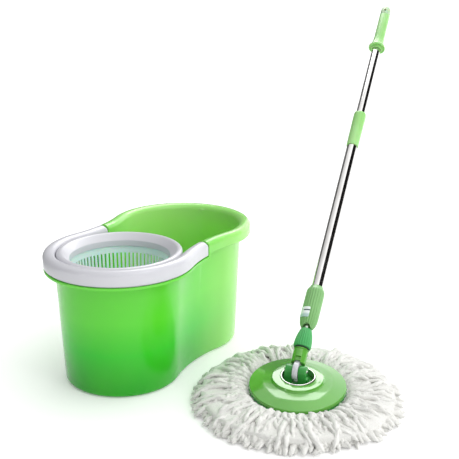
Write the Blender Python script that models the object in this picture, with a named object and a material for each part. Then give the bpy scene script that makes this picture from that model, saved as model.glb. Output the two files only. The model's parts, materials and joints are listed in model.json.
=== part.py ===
"""Spin mop set: a figure-eight bucket with a spinning wringer basket and a folding carry handle, and a
telescopic mop whose pole spins the head when it is pressed.

Frame: metres, +Z up. The origin is the middle of the bucket's flat underside, +Y runs from the basket lobe
to the water lobe, and the mop stands beside the bucket on +X.
"""

import math

import bmesh
import bpy
from mathutils import Matrix, Vector

# Driving dimensions ------------------------------------------------------------------------------

GAP = 0.0003                # clearance between pieces that touch
SHARP_ANGLE = math.radians(32)

# Bucket outline: two round lobes joined by concave waists. All sizes are at the outside of the rim.
LOBE_SPACING = 0.198
FRONT_RADIUS = 0.130
BACK_RADIUS = 0.132
WAIST_RADIUS = 0.257
FRONT_Y = -LOBE_SPACING / 2
BACK_Y = LOBE_SPACING / 2

RIM_TOP = 0.233
RIM_LIP = 0.211             # lower edge of the rolled rim
LEDGE_TOP = 0.2055          # flange that the carry handle and the basket ring lie on
LEDGE_BOTTOM = 0.2025
WALL_TOP_INSET = 0.0195     # outside of the wall, measured in from the rim, under the rim
WALL_FOOT_INSET = 0.0286    # the same at the base
WALL = 0.0026
FLOOR = 0.0032
RIM_START_Y = 0.0026        # where the rolled rim begins behind the handle's ends

# Carry handle and its two pivots at the waist
HANDLE_PIVOT_Y = -0.0095
HANDLE_PIVOT_Z = 0.2225
HANDLE_END_Y = -0.0008
HANDLE_BOTTOM = 0.2086
HANDLE_PIN_RADIUS = 0.0020
PIVOT_BOSS_RADIUS = 0.0045
BOSS_INSET = (0.0054, 0.0162)        # outer and inner faces of the pivot boss, in from the rim
PIN_INSET = (0.0016, 0.0200)         # ends of the pivot pin
PIN_HOLE_INSET = (0.0012, 0.0204)

# Wringer basket
RING_HOLE_RADIUS = 0.0856
SLOT_COUNT = 54
SLOT_SHARE = 0.42           # part of each pitch that is open
SLOT_TOP = 0.1960
SLOT_BOTTOM = 0.1290
AXLE_RADIUS = 0.0030

# Mop head. Heights in the head are measured along the plate's normal from the top edge of the plate's rim.
HEAD_CENTRE = Vector((0.3174, -0.0546, 0.0330))
HEAD_TILT = math.radians(6.7)
HEAD_TILT_HEADING = math.radians(28.56)     # of the level line that the plate is tilted about
PLATE_RADIUS = 0.080
PIVOT_HEIGHT = 0.0245
PIVOT_SIDE = -0.0032        # the ears lie a little to one side of the swivel's axis
STRAND_RADIUS = 0.178
CARRIER_TOP = -0.0054
CARRIER_BOTTOM = -0.0095
KNOB_COUNT = 36
SOCKET_RADIUS = 0.0262      # bore of the steel ring that the yoke turns in

# Pole. Heights on the pole are measured along its axis from the tilt pin.
POLE_LEAN = math.radians(48)            # from the vertical
POLE_HEADING = math.radians(-7.85)      # of the lean, from +Y towards +X
TONGUE_RADIUS = 0.0150
TONGUE_HALF = 0.0042
YOKE_SLOT_HALF = 0.0047
EAR_OUTER = 0.0176
EAR_RADIUS = 0.0095
PIN_RADIUS = 0.0028
NECK_BOTTOM = 0.0125
NECK_SHOULDER = 0.0382
NECK_TOP = 0.0600
NUT_BOTTOM = 0.0411
NUT_TOP = 0.0755
SLEEVE_BOTTOM = 0.0776
SLEEVE_TOP = 0.1570
NOTCH_RADIUS = 0.0068       # of the two arches in the sleeve's lower edge
SLEEVE_RADIUS = 0.0156
SLEEVE_TAPER = (0.0905, 0.1010)         # where the sleeve widens to its full radius
LABEL = (0.0925, 0.1115)    # ends of the blank label on the sleeve
LABEL_HEADING = math.radians(-130)      # of its middle, about the pole from the tilt pin
LABEL_HALF_ANGLE = math.radians(45)
LABEL_THICKNESS = 0.0003
LOWER_TUBE = (0.0998, 0.4750)
UPPER_TUBE = (0.1610, 0.7970)
LOWER_TUBE_RADIUS = 0.0095
LOWER_TUBE_BORE = 0.0086
UPPER_TUBE_RADIUS = 0.0083
UPPER_TUBE_BORE = 0.0074
COLLET = (0.4760, 0.4990)
COLLAR = (0.4620, 0.5410)
GRIP_BOTTOM = 0.7060
GRIP_TOP = 0.7995
CAP_TOP = 0.8200
HANGING_HOLE = 0.8080

# Twisted drive bar: the slotted drive nut turns once for each pitch that it slides
BAR_PITCH = 0.080
BAR_HALF = (0.0035, 0.0013)
BAR = (0.0863, 0.2190)
DRIVE_NUT = (0.0913, 0.0953)
BAR_CLEARANCE = 0.0004

# Common meshes -----------------------------------------------------------------------------------

FULL_TURN = 2 * math.pi


def linear(channel):
    """One 0 to 255 display value as the linear value that a shader takes."""
    c = channel / 255
    return c / 12.92 if c <= 0.04045 else ((c + 0.055) / 1.055) ** 2.4


def material(name, colour, roughness, metallic=0.0):
    """A Principled BSDF with a display colour, a roughness and a metallic value."""
    mat = bpy.data.materials.new(name)
    mat.use_nodes = True
    shader = mat.node_tree.nodes["Principled BSDF"]
    shader.inputs["Base Color"].default_value = [linear(c) for c in colour] + [1]
    shader.inputs["Roughness"].default_value = roughness
    shader.inputs["Metallic"].default_value = metallic
    return mat


def finish(name, bm, mat, parent=None):
    """Turns a bmesh into a smooth-shaded object on a parent."""
    bmesh.ops.recalc_face_normals(bm, faces=bm.faces)
    mesh = bpy.data.meshes.new(name)
    bm.to_mesh(mesh)
    bm.free()
    mesh.shade_smooth()
    mesh.set_sharp_from_angle(angle=SHARP_ANGLE)
    mesh.materials.append(mat)
    obj = bpy.data.objects.new(name, mesh)
    bpy.context.scene.collection.objects.link(obj)
    obj.parent = parent
    return obj


def loft_mesh(loops, closed, holes=()):
    """Skins equal loops of points. closed joins the last loop to the first; otherwise both ends are capped.

    holes is a list of (row, partner, station): the cell between rows row and row + 1 after that station is
    left open, as is the one behind it between rows partner and partner + 1, and the two are joined through
    the wall.
    """
    bm = bmesh.new()
    rows = [[bm.verts.new(point) for point in loop] for loop in loops]
    count = len(rows[0])
    pairs = len(rows) if closed else len(rows) - 1
    skipped = {(row, j) for row, _, j in holes} | {(partner, j) for _, partner, j in holes}
    for i in range(pairs):
        low, high = rows[i], rows[(i + 1) % len(rows)]
        for j in range(count):
            if (i, j) not in skipped:
                k = (j + 1) % count
                bm.faces.new((low[j], low[k], high[k], high[j]))
    for row, partner, j in holes:
        k = (j + 1) % count
        # the partner rows run the other way up, so its upper row is its first one
        front = (rows[row][j], rows[row][k], rows[row + 1][k], rows[row + 1][j])
        behind = (rows[partner + 1][j], rows[partner + 1][k], rows[partner][k], rows[partner][j])
        for a in range(4):
            b = (a + 1) % 4
            bm.faces.new((front[a], behind[a], behind[b], front[b]))
    if not closed:
        bm.faces.new(rows[0])
        bm.faces.new(rows[-1])
    return bm


def circle(radius, z, segments, start=0.0):
    """Points on a level circle."""
    angles = [start + FULL_TURN * i / segments for i in range(segments)]
    return [Vector((radius * math.cos(a), radius * math.sin(a), z)) for a in angles]


def turned(name, profile, mat, parent=None, segments=28, closed=True):
    """A round piece about its own Z axis from (radius, height) points."""
    loops = [circle(radius, z, segments) for radius, z in profile]
    return finish(name, loft_mesh(loops, closed), mat, parent)


def ribbed(name, profile, ribs, depth, mat, parent=None):
    """A round piece whose rows marked True have ribs, with alternate points sunk by depth."""
    loops = []
    for radius, z, has_ribs in profile:
        loop = circle(1.0, 0.0, ribs * 2)
        for i, point in enumerate(loop):
            sunk = depth if has_ribs and i % 2 else 0.0
            loop[i] = Vector((point.x * (radius - sunk), point.y * (radius - sunk), z))
        loops.append(loop)
    return finish(name, loft_mesh(loops, True), mat, parent)


def box(name, low, high, mat, parent=None):
    """A box between two corners."""
    bm = bmesh.new()
    bmesh.ops.create_cube(bm, size=1.0)
    size = Vector(high) - Vector(low)
    centre = (Vector(high) + Vector(low)) / 2
    bmesh.ops.scale(bm, vec=size, verts=bm.verts)
    bmesh.ops.translate(bm, vec=centre, verts=bm.verts)
    return finish(name, bm, mat, parent)


def cross_pin(name, radius, low, high, mat, parent=None, segments=16):
    """A round rod along X between two stations, at its parent's origin."""
    obj = turned(name, [(radius, low), (radius, high)], mat, parent, segments, closed=False)
    obj.rotation_euler = (0, math.pi / 2, 0)
    return obj


def combine(target, tool, operation):
    """Adds or cuts one object with another, which becomes a hidden guide."""
    modifier = target.modifiers.new(tool.name, "BOOLEAN")
    modifier.object = tool
    modifier.operation = operation
    modifier.solver = "EXACT"
    tool.hide_render = True
    tool.display_type = "WIRE"


def empty(name, parent=None):
    """A frame that pieces are placed in."""
    obj = bpy.data.objects.new(name, None)
    bpy.context.scene.collection.objects.link(obj)
    obj.parent = parent
    return obj


# Bucket ------------------------------------------------------------------------------------------

FRONT_REACH = FRONT_RADIUS + WAIST_RADIUS           # from a lobe's centre to the centre of a waist's arc
BACK_REACH = BACK_RADIUS + WAIST_RADIUS
WAIST_ALONG = (FRONT_REACH ** 2 - BACK_REACH ** 2 + LOBE_SPACING ** 2) / (2 * LOBE_SPACING)
WAIST_X = math.sqrt(FRONT_REACH ** 2 - WAIST_ALONG ** 2)
WAIST_Y = FRONT_Y + WAIST_ALONG
FRONT_TANGENT = math.atan2(WAIST_ALONG, WAIST_X)
BACK_TANGENT = math.atan2(LOBE_SPACING - WAIST_ALONG, WAIST_X)


def lobe_stations(centre_y, radius, start, end, segments):
    """Stations round a lobe, from one tangent point to the other."""
    angles = [start + (end - start) * i / segments for i in range(segments + 1)]
    return [(0.0, centre_y, radius, 1, angle) for angle in angles]


def waist_station(side, y):
    """A station on a waist's arc at height y along the bucket. side is 1 on +X and -1 on -X."""
    lift = math.asin((y - WAIST_Y) / WAIST_RADIUS)
    return (side * WAIST_X, WAIST_Y, WAIST_RADIUS, -1, math.pi - lift if side > 0 else lift)


def place(station, inset, z):
    """The point that lies inset from the rim's outside at a station."""
    cx, cy, radius, sign, angle = station
    reach = radius - sign * inset
    return Vector((cx + reach * math.cos(angle), cy + reach * math.sin(angle), z))


def waist_x(y):
    """How far the rim's outside is from the middle plane on the waist."""
    return place(waist_station(1, y), 0.0, 0.0).x


STEP = 0.0006               # run of each upright step in the rim
END_WALL = 0.0025
RIM_STEPS = (RIM_START_Y - STEP, RIM_START_Y, RIM_START_Y + END_WALL, RIM_START_Y + END_WALL + STEP)


def tub_stations():
    """All stations round the tub, each with its rim form: low ledge, solid end wall or rolled rim."""
    waist = [(-0.045, "low"), (-0.022, "low"), (RIM_STEPS[0], "low"), (RIM_STEPS[1], "solid"),
             (RIM_STEPS[2], "solid"), (RIM_STEPS[3], "rolled"), (0.025, "rolled"), (0.045, "rolled")]
    front = lobe_stations(FRONT_Y, FRONT_RADIUS, math.pi - FRONT_TANGENT, FULL_TURN + FRONT_TANGENT, 22)
    back = lobe_stations(BACK_Y, BACK_RADIUS, -BACK_TANGENT, math.pi + BACK_TANGENT, 22)
    result = [(station, "low") for station in front]
    result += [(waist_station(1, y), form) for y, form in waist]
    result += [(station, "rolled") for station in back]
    result += [(waist_station(-1, y), form) for y, form in reversed(waist)]
    return result


def wall_inset(z):
    """Inset of the wall's outside at a height."""
    return WALL_FOOT_INSET + (WALL_TOP_INSET - WALL_FOOT_INSET) * z / LEDGE_TOP


def tub_profile(form):
    """(inset, height) points: the underside, up the outside, over the rim and down inside to the floor."""
    foot = [(0.0360, 0.0), (0.0306, 0.0022), (wall_inset(0.0090), 0.0090)]
    if form == "rolled":
        rim = [(0.0192, 0.2255), (0.0030, 0.2255), (0.0026, RIM_LIP), (0.0, RIM_LIP), (0.0, 0.2232),
               (0.0026, 0.2294), (0.0100, RIM_TOP), (0.0176, 0.2310), (0.0212, 0.2240)]
    else:
        low = [(WALL_TOP_INSET, LEDGE_BOTTOM), (0.0035, LEDGE_BOTTOM), (0.0022, 0.2012), (0.0006, 0.2018)]
        flat = [(0.0006, 0.2050), (0.0030, LEDGE_TOP), (0.0100, LEDGE_TOP), (0.0176, LEDGE_TOP),
                (0.0219, LEDGE_TOP)]
        rolled = [(0.0, 0.2232), (0.0026, 0.2294), (0.0100, RIM_TOP), (0.0176, 0.2310), (0.0212, 0.2240)]
        rim = low + (flat if form == "low" else rolled)
    inner = WALL_FOOT_INSET + WALL
    floor = [(inner - 0.0004, 0.0130), (inner + 0.0022, 0.0060), (inner + 0.0080, FLOOR)]
    return foot + rim + floor


def pivot_boss(side, mat):
    """The upright tongue that the handle turns on, with the pin's hole through it."""
    outer = waist_x(HANDLE_PIVOT_Y)
    points = 20
    flank = 8
    foot_z = LEDGE_TOP - 0.0012 - HANDLE_PIVOT_Z
    outline = [(PIVOT_BOSS_RADIUS * math.cos(a), PIVOT_BOSS_RADIUS * math.sin(a))
               for a in (math.pi * i / (points - flank - 1) for i in range(points - flank))]
    half = PIVOT_BOSS_RADIUS
    outline += [(-half, foot_z * 0.5), (-half, foot_z), (-half * 0.5, foot_z), (0.0, foot_z),
                (half * 0.5, foot_z), (half, foot_z), (half, foot_z * 0.6), (half, foot_z * 0.3)]
    hole = HANDLE_PIN_RADIUS + 2 * GAP
    loops = []
    near, far = BOSS_INSET
    for inset, bore in ((near, False), (far, False), (far, True), (near, True)):
        x = side * (outer - inset)
        loop = []
        for y, z in outline:
            scale = hole / math.hypot(y, z) if bore else 1.0
            loop.append(Vector((x, HANDLE_PIVOT_Y + y * scale, HANDLE_PIVOT_Z + z * scale)))
        loops.append(loop)
    return finish("pivot_boss_right" if side > 0 else "pivot_boss_left", loft_mesh(loops, True), mat)


def build_tub(mat):
    stations = tub_stations()
    profiles = {form: tub_profile(form) for form in ("low", "solid", "rolled")}
    rows = len(profiles["low"])
    loops = [[place(station, *profiles[form][row]) for station, form in stations] for row in range(rows)]
    tub = finish("bucket_tub", loft_mesh(loops, False), mat)
    for side in (1, -1):
        combine(tub, pivot_boss(side, mat), "UNION")


def build_carry_handle(mat, pin_mat):
    """The U-shaped handle over the basket lobe's rim, an upside-down channel on two pins."""
    waist = [(HANDLE_END_Y, True), (-0.0036, False), (-0.0150, False), (-0.0300, False), (-0.0470, False)]
    front = lobe_stations(FRONT_Y, FRONT_RADIUS, math.pi - FRONT_TANGENT, FULL_TURN + FRONT_TANGENT, 22)
    path = [(waist_station(-1, y), end) for y, end in waist]
    path += [(station, False) for station in front]
    path += [(waist_station(1, y), end) for y, end in reversed(waist)]
    outside = [(0.0002, HANDLE_BOTTOM), (0.0, 0.2226), (0.0026, 0.2294), (0.0078, RIM_TOP),
               (0.0140, RIM_TOP), (0.0192, 0.2294), (0.0216, 0.2226), (0.0216, HANDLE_BOTTOM)]
    inside = [(0.0190, HANDLE_BOTTOM), (0.0190, 0.2240), (0.0150, 0.2303), (0.0068, 0.2303),
              (0.0026, 0.2240), (0.0026, HANDLE_BOTTOM)]
    end_top = 0.2304
    loops = []
    for station, end in path:
        section = [(inset, min(z, end_top) if end else z) for inset, z in outside]
        roof = end_top - 0.0022
        section += [(inset, min(z, roof) if end else z) for inset, z in inside]
        loops.append([place(station, inset, z) for inset, z in section])
    handle = finish("carry_handle", loft_mesh(loops, False), mat)
    outer = waist_x(HANDLE_PIVOT_Y)
    for side, label in ((1, "right"), (-1, "left")):
        pivot = empty(f"handle_pivot_{label}")
        pivot.location = (0, HANDLE_PIVOT_Y, HANDLE_PIVOT_Z)
        hole = [side * (outer - inset) for inset in PIN_HOLE_INSET]
        cutter = cross_pin(f"pin_hole_{label}", HANDLE_PIN_RADIUS + GAP, min(hole), max(hole), mat, pivot)
        combine(handle, cutter, "DIFFERENCE")
        ends = [side * (outer - inset) for inset in PIN_INSET]
        cross_pin(f"handle_pin_{label}", HANDLE_PIN_RADIUS, min(ends), max(ends), pin_mat, pivot, 12)


def build_basket_ring(mat, parent):
    """The fixed white ring: a hollow crowned channel, with a flange under the handle round the front."""
    flange_half = math.radians(100)
    flange, stub = 0.1262, 0.1086
    steps, narrow_steps = 24, 16
    angles = [-math.pi / 2 - flange_half + 2 * flange_half * i / steps for i in range(steps + 1)]
    wide = [(a, flange) for a in angles]
    rest = FULL_TURN - 2 * flange_half
    start = angles[-1] + math.radians(0.4)
    span = rest - 2 * math.radians(0.4)
    narrow = [(start + span * i / narrow_steps, stub) for i in range(narrow_steps + 1)]
    profile = [(None, 0.2060), (None, 0.2082), (0.1074, 0.2082), (0.1072, 0.2250), (0.1020, 0.2303),
               (0.0950, 0.2284), (RING_HOLE_RADIUS, 0.2192), (0.0850, 0.2090), (0.0869, 0.2090),
               (0.0874, 0.2186), (0.0975, 0.2272), (0.1049, 0.2235), (0.1049, 0.2060)]
    loops = []
    for radius, z in profile:
        loops.append([Vector(((radius or reach) * math.cos(a), (radius or reach) * math.sin(a), z))
                      for a, reach in wide + narrow])
    finish("basket_ring", loft_mesh(loops, True), mat, parent)


def build_spin_basket(mat, parent):
    """The slotted cup, as one wall and floor with a hole for its hub."""
    outer = [(0.0903, 0.2125), (0.0894, SLOT_TOP), (0.0858, SLOT_BOTTOM), (0.0836, 0.1080)]
    inner = [(0.0822, 0.1106), (0.0834, SLOT_BOTTOM), (0.0870, SLOT_TOP), (0.0878, 0.2125)]
    floor = [(0.0126, 0.1080), (0.0126, 0.1106)]
    profile = outer + floor + inner
    pitch = FULL_TURN / SLOT_COUNT
    angles = []
    for i in range(SLOT_COUNT):
        angles += [i * pitch, (i + SLOT_SHARE) * pitch]
    loops = [[Vector((r * math.cos(a), r * math.sin(a), z)) for a in angles] for r, z in profile]
    front_row = outer.index((0.0894, SLOT_TOP))
    back_row = len(outer) + len(floor) + inner.index((0.0834, SLOT_BOTTOM))
    holes = [(front_row, back_row, 2 * i) for i in range(SLOT_COUNT)]
    finish("spin_basket", loft_mesh(loops, True, holes), mat, parent)


def build_basket_bearing(parent, green, white, steel, nylon):
    """The post, axle and washer under the basket, and the hub, bush and cap that turn on them."""
    turned("axle_post", [(0.0290, 0.0036), (0.0270, 0.0080), (0.0180, 0.0300), (0.0130, 0.0930),
                         (0.0105, 0.0950), (0.0033, 0.0950), (0.0033, 0.0700)],
           green, parent, 24, closed=False)
    turned("basket_axle", [(AXLE_RADIUS, 0.0703), (AXLE_RADIUS, 0.1245), (0.0022, 0.1255)],
           steel, parent, 14, closed=False)
    turned("basket_thrust_washer", [(0.0034, 0.0953), (0.0088, 0.0953), (0.0088, 0.0965), (0.0034, 0.0965)],
           steel, parent, 18)
    turned("hub_bush", [(0.0034, 0.0990), (0.0056, 0.0990), (0.0056, 0.1230), (0.0034, 0.1230)],
           nylon, parent, 18)
    turned("basket_hub", [(0.0059, 0.1260), (0.0059, 0.0969), (0.0110, 0.0969), (0.0122, 0.0990),
                          (0.0122, 0.1109), (0.0190, 0.1109), (0.0180, 0.1160), (0.0128, 0.1290)],
           green, parent, 24, closed=False)
    turned("hub_cap", [(0.0050, 0.1293), (0.0124, 0.1293), (0.0118, 0.1318), (0.0085, 0.1342),
                       (0.0040, 0.1350)],
           white, parent, 24, closed=False)


# Mop head ----------------------------------------------------------------------------------------

def build_plate(parent, green, dark_green, steel):
    """The domed cover with its cup for the swivel, the steel ring in the cup and the knobbed carrier."""
    turned("mop_cover", [(0.0068, -0.0022), (0.0068, 0.0), (0.0272, 0.0), (0.0272, 0.0122), (0.0291, 0.0122),
                         (0.0296, 0.0146), (0.0418, 0.0138), (0.0436, 0.0118), (0.0440, 0.0092),
                         (0.0600, 0.0062), (0.0740, 0.0022), (0.0788, 0.0), (PLATE_RADIUS, -0.0016),
                         (PLATE_RADIUS, -0.0051), (0.0778, -0.0051), (0.0735, -0.0010), (0.0560, 0.0042),
                         (0.0298, 0.0070), (0.0298, -0.0022)], green, parent, 36)
    turned("steel_ring", [(SOCKET_RADIUS, 0.0062), (0.0269, 0.0062), (0.0269, 0.0125), (0.0288, 0.0125),
                          (0.0289, 0.0147), (0.0281, 0.0160), (0.0270, 0.0161), (SOCKET_RADIUS, 0.0151)],
           steel, parent, 32)
    knob_depth = 0.030
    loops = []
    for radius, z, knobbed in ((0.0350, CARRIER_BOTTOM, False), (0.0784, CARRIER_BOTTOM, True),
                               (0.0788, CARRIER_TOP, True), (0.0350, CARRIER_TOP, False)):
        loop = circle(radius, 0.0, KNOB_COUNT * 2)
        for i, point in enumerate(loop):
            reach = 1 + knob_depth if knobbed and i % 2 else 1.0
            loop[i] = Vector((point.x * reach, point.y * reach, z))
        loops.append(loop)
    finish("strand_carrier", loft_mesh(loops, True), dark_green, parent)


def build_strands(head, mat):
    """The fringe as one soft mass: flat on the floor, and following the tilted plate on top."""
    normal = head.to_3x3() @ Vector((0, 0, 1))
    under = head @ Vector((0, 0, CARRIER_BOTTOM - 0.0008))

    def plate_height(x, y):
        return under.z - (normal.x * x + normal.y * y) / normal.z

    rows = [(0.0200, "floor", 0.0), (0.1660, "floor", 0.0), (0.1760, "free", 0.0050),
            (STRAND_RADIUS, "free", 0.0110), (0.1700, "free", 0.0200), (0.1350, "free", 0.0270),
            (0.0980, "free", 0.0290), (0.0850, "plate", 0.0), (0.0200, "plate", 0.0)]
    loops = []
    for radius, kind, height in rows:
        loop = []
        for point in circle(radius, 0.0, 40):
            z = {"floor": 0.0, "free": height, "plate": plate_height(point.x, point.y)}[kind]
            loop.append(Vector((HEAD_CENTRE.x + point.x, HEAD_CENTRE.y + point.y, z)))
        loops.append(loop)
    finish("mop_strands", loft_mesh(loops, False), mat)


def lug_loops(outline, low, high, hole):
    """Loops for a flat lug across X: its outline, then the round hole through it."""
    loops = []
    for x, bore in ((low, False), (high, False), (high, True), (low, True)):
        loop = []
        for y, z in outline:
            scale = hole / math.hypot(y, z) if bore else 1.0
            loop.append(Vector((x, y * scale, z * scale)))
        loops.append(loop)
    return loops


def round_lug(radius, half_width, foot, arc_points, foot_points):
    """Outline of a lug: an arc about the pin over the top, and straight flanks down to its foot.

    foot is negative below the pin, and positive for a lug that hangs the other way up.
    """
    sign = 1 if foot < 0 else -1
    open_angle = math.asin(min(half_width / radius, 1.0))
    start = -math.pi / 2 + open_angle
    end = 1.5 * math.pi - open_angle
    arc = [start + (end - start) * i / (arc_points - 1) for i in range(arc_points)]
    outline = [(radius * math.cos(a), sign * radius * math.sin(a)) for a in arc]
    side_z = outline[-1][1]
    outline += [(-half_width, (side_z + foot) / 2), (-half_width, foot)]
    outline += [(-half_width + 2 * half_width * i / (foot_points + 1), foot)
                for i in range(1, foot_points + 1)]
    outline += [(half_width, foot), (half_width, (side_z + foot) / 2)]
    return outline


def build_yoke(parent, pivot, dark_green, steel):
    """The swivelling yoke in the cover's cup, its retaining screw and the tilt pin through its two ears."""
    screw_hole = 0.0023
    hub = turned("swivel_yoke", [(screw_hole, 0.0036), (screw_hole, -0.0050), (0.0062, -0.0050),
                                 (0.0062, 0.0006), (0.0262, 0.0006), (0.0262, 0.0048), (0.0255, 0.0056)],
                 dark_green, parent, 32, closed=False)
    outline = round_lug(EAR_RADIUS, EAR_RADIUS, 0.0045 - PIVOT_HEIGHT, 11, 3)
    for side, label in ((1, "right"), (-1, "left")):
        low, high = sorted((side * YOKE_SLOT_HALF, side * EAR_OUTER))
        loops = lug_loops(outline, low, high, PIN_RADIUS + 2 * GAP)
        combine(hub, finish(f"yoke_ear_{label}", loft_mesh(loops, True), dark_green, pivot), "UNION")
    turned("yoke_washer", [(0.0024, -0.0065), (0.0105, -0.0065), (0.0105, -0.0053), (0.0024, -0.0053)],
           steel, parent, 18)
    turned("yoke_screw", [(0.0020, 0.0030), (0.0020, -0.0068), (0.0048, -0.0068), (0.0048, -0.0080),
                          (0.0036, -0.0092)], steel, parent, 14, closed=False)
    head = -EAR_OUTER - GAP
    pin = turned("tilt_pin", [(0.0044, head - 0.0017), (0.0044, head - 0.0001), (PIN_RADIUS, head),
                              (PIN_RADIUS, EAR_OUTER + 0.0013)], steel, pivot, 16, closed=False)
    pin.rotation_euler = (0, math.pi / 2, 0)


# Pole --------------------------------------------------------------------------------------------

def build_neck(pole, white, green, teal, rubber, steel):
    """Tongue, neck, cross pin, seal, nut and ferrule: what the yoke tilts on."""
    stem_top, stem_half = 0.0280, 0.0055
    neck_pin_z, neck_pin_radius = 0.0255, 0.0015
    outline = round_lug(TONGUE_RADIUS, stem_half, stem_top, 15, 3)
    loops = lug_loops(outline, -TONGUE_HALF, TONGUE_HALF, PIN_RADIUS + 2 * GAP)
    tongue = finish("tilt_tongue", loft_mesh(loops, True), white, pole)
    neck = turned("pole_neck", [(0.0112, NECK_BOTTOM), (0.0119, 0.0133), (0.0122, 0.0346), (0.0112, 0.0352),
                                (0.0112, 0.0362), (0.0123, 0.0367), (0.0123, 0.0379),
                                (0.0118, NECK_SHOULDER), (0.0083, NECK_SHOULDER), (0.0083, NECK_TOP)],
                  green, pole, 28, closed=False)
    slot, web, outside = YOKE_SLOT_HALF, 0.0085, 0.0200
    cuts = {
        "neck_slot": ((-slot, -outside, 0.0050), (slot, outside, TONGUE_RADIUS + 2 * GAP)),
        "neck_window_front": ((-slot, -outside, 0.0060), (slot, -web, 0.0222)),
        "neck_window_back": ((-slot, web, 0.0060), (slot, outside, 0.0222)),
        "neck_pocket": ((-slot, -0.0061, 0.0100), (slot, 0.0061, 0.0287)),
    }
    for name, (low, high) in cuts.items():
        combine(neck, box(name, low, high, green, pole), "DIFFERENCE")
    pin_frame = empty("neck_pin_frame", pole)
    pin_frame.location = (0, 0, neck_pin_z)
    hole = cross_pin("neck_pin_hole", neck_pin_radius + GAP, -0.0160, 0.0160, green, pin_frame, 12)
    for piece in (neck, tongue):
        combine(piece, hole, "DIFFERENCE")
    cross_pin("neck_pin", neck_pin_radius, -0.0118, 0.0118, steel, pin_frame, 12)
    turned("neck_seal", [(0.0087, 0.0385), (0.0118, 0.0385), (0.0128, 0.0391), (0.0128, 0.0402),
                         (0.0118, 0.0408), (0.0087, 0.0408)], rubber, pole, 24)
    ribbed("pole_nut", [(0.0088, NUT_BOTTOM, False), (0.0137, NUT_BOTTOM, False), (0.0149, 0.0436, True),
                        (0.0150, 0.0500, True), (0.0137, 0.0590, True), (0.0115, 0.0690, True),
                        (0.0091, NUT_TOP, False), (0.0065, NUT_TOP, False), (0.0065, 0.0660, False),
                        (0.0088, 0.0660, False)], 18, 0.0007, teal, pole)
    turned("spindle_ferrule", [(0.0083, 0.0605), (0.0083, 0.0631), (0.0060, 0.0631), (0.0060, 0.0800),
                               (0.0048, 0.0860)], steel, pole, 20, closed=False)
    turned("bar_stop", [(0.0062, BAR[1] + GAP), (0.0062, BAR[1] + 0.0033)], steel, pole, 16, closed=False)


def bar_section(half_x, half_y, z, points):
    """A rectangle of points, turned by the bar's twist at its height. points is a multiple of 4."""
    twist = FULL_TURN * (z - BAR[0]) / BAR_PITCH
    corners = [(half_x, half_y), (-half_x, half_y), (-half_x, -half_y), (half_x, -half_y)]
    side = points // 4
    loop = []
    for i, (x, y) in enumerate(corners):
        nx, ny = corners[(i + 1) % 4]
        for k in range(side):
            px, py = x + (nx - x) * k / side, y + (ny - y) * k / side
            loop.append(Vector((px * math.cos(twist) - py * math.sin(twist),
                                px * math.sin(twist) + py * math.cos(twist), z)))
    return loop


def build_drive(pole, steel, nylon):
    """The twisted bar, and the slotted nut and washer that slide along it with the pole."""
    rows = 34
    loops = [bar_section(*BAR_HALF, BAR[0] + (BAR[1] - BAR[0]) * i / rows, 4) for i in range(rows + 1)]
    finish("twist_bar", loft_mesh(loops, False), steel, pole)
    low, high = DRIVE_NUT
    points = 16
    half = [h + BAR_CLEARANCE for h in BAR_HALF]
    corner = math.atan2(half[1], half[0])
    outer = []
    for z in (low, high):
        twist = FULL_TURN * (z - BAR[0]) / BAR_PITCH
        outer.append(circle(0.0089, z, points, corner + twist))
    slot = [bar_section(*half, z, points) for z in (high, (low + high) / 2, low)]
    finish("drive_nut", loft_mesh(outer + slot, True), nylon, pole)
    turned("thrust_washer", [(0.0046, high + 0.0004), (0.0088, high + 0.0004), (0.0088, high + 0.0016),
                             (0.0046, high + 0.0016)], steel, pole, 18)


def arc_shell(angles, section):
    """Loops for a curved strip: the same (radius, height) section at each angle."""
    return [[Vector((r * math.cos(a), r * math.sin(a), z)) for r, z in section] for a in angles]


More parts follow.
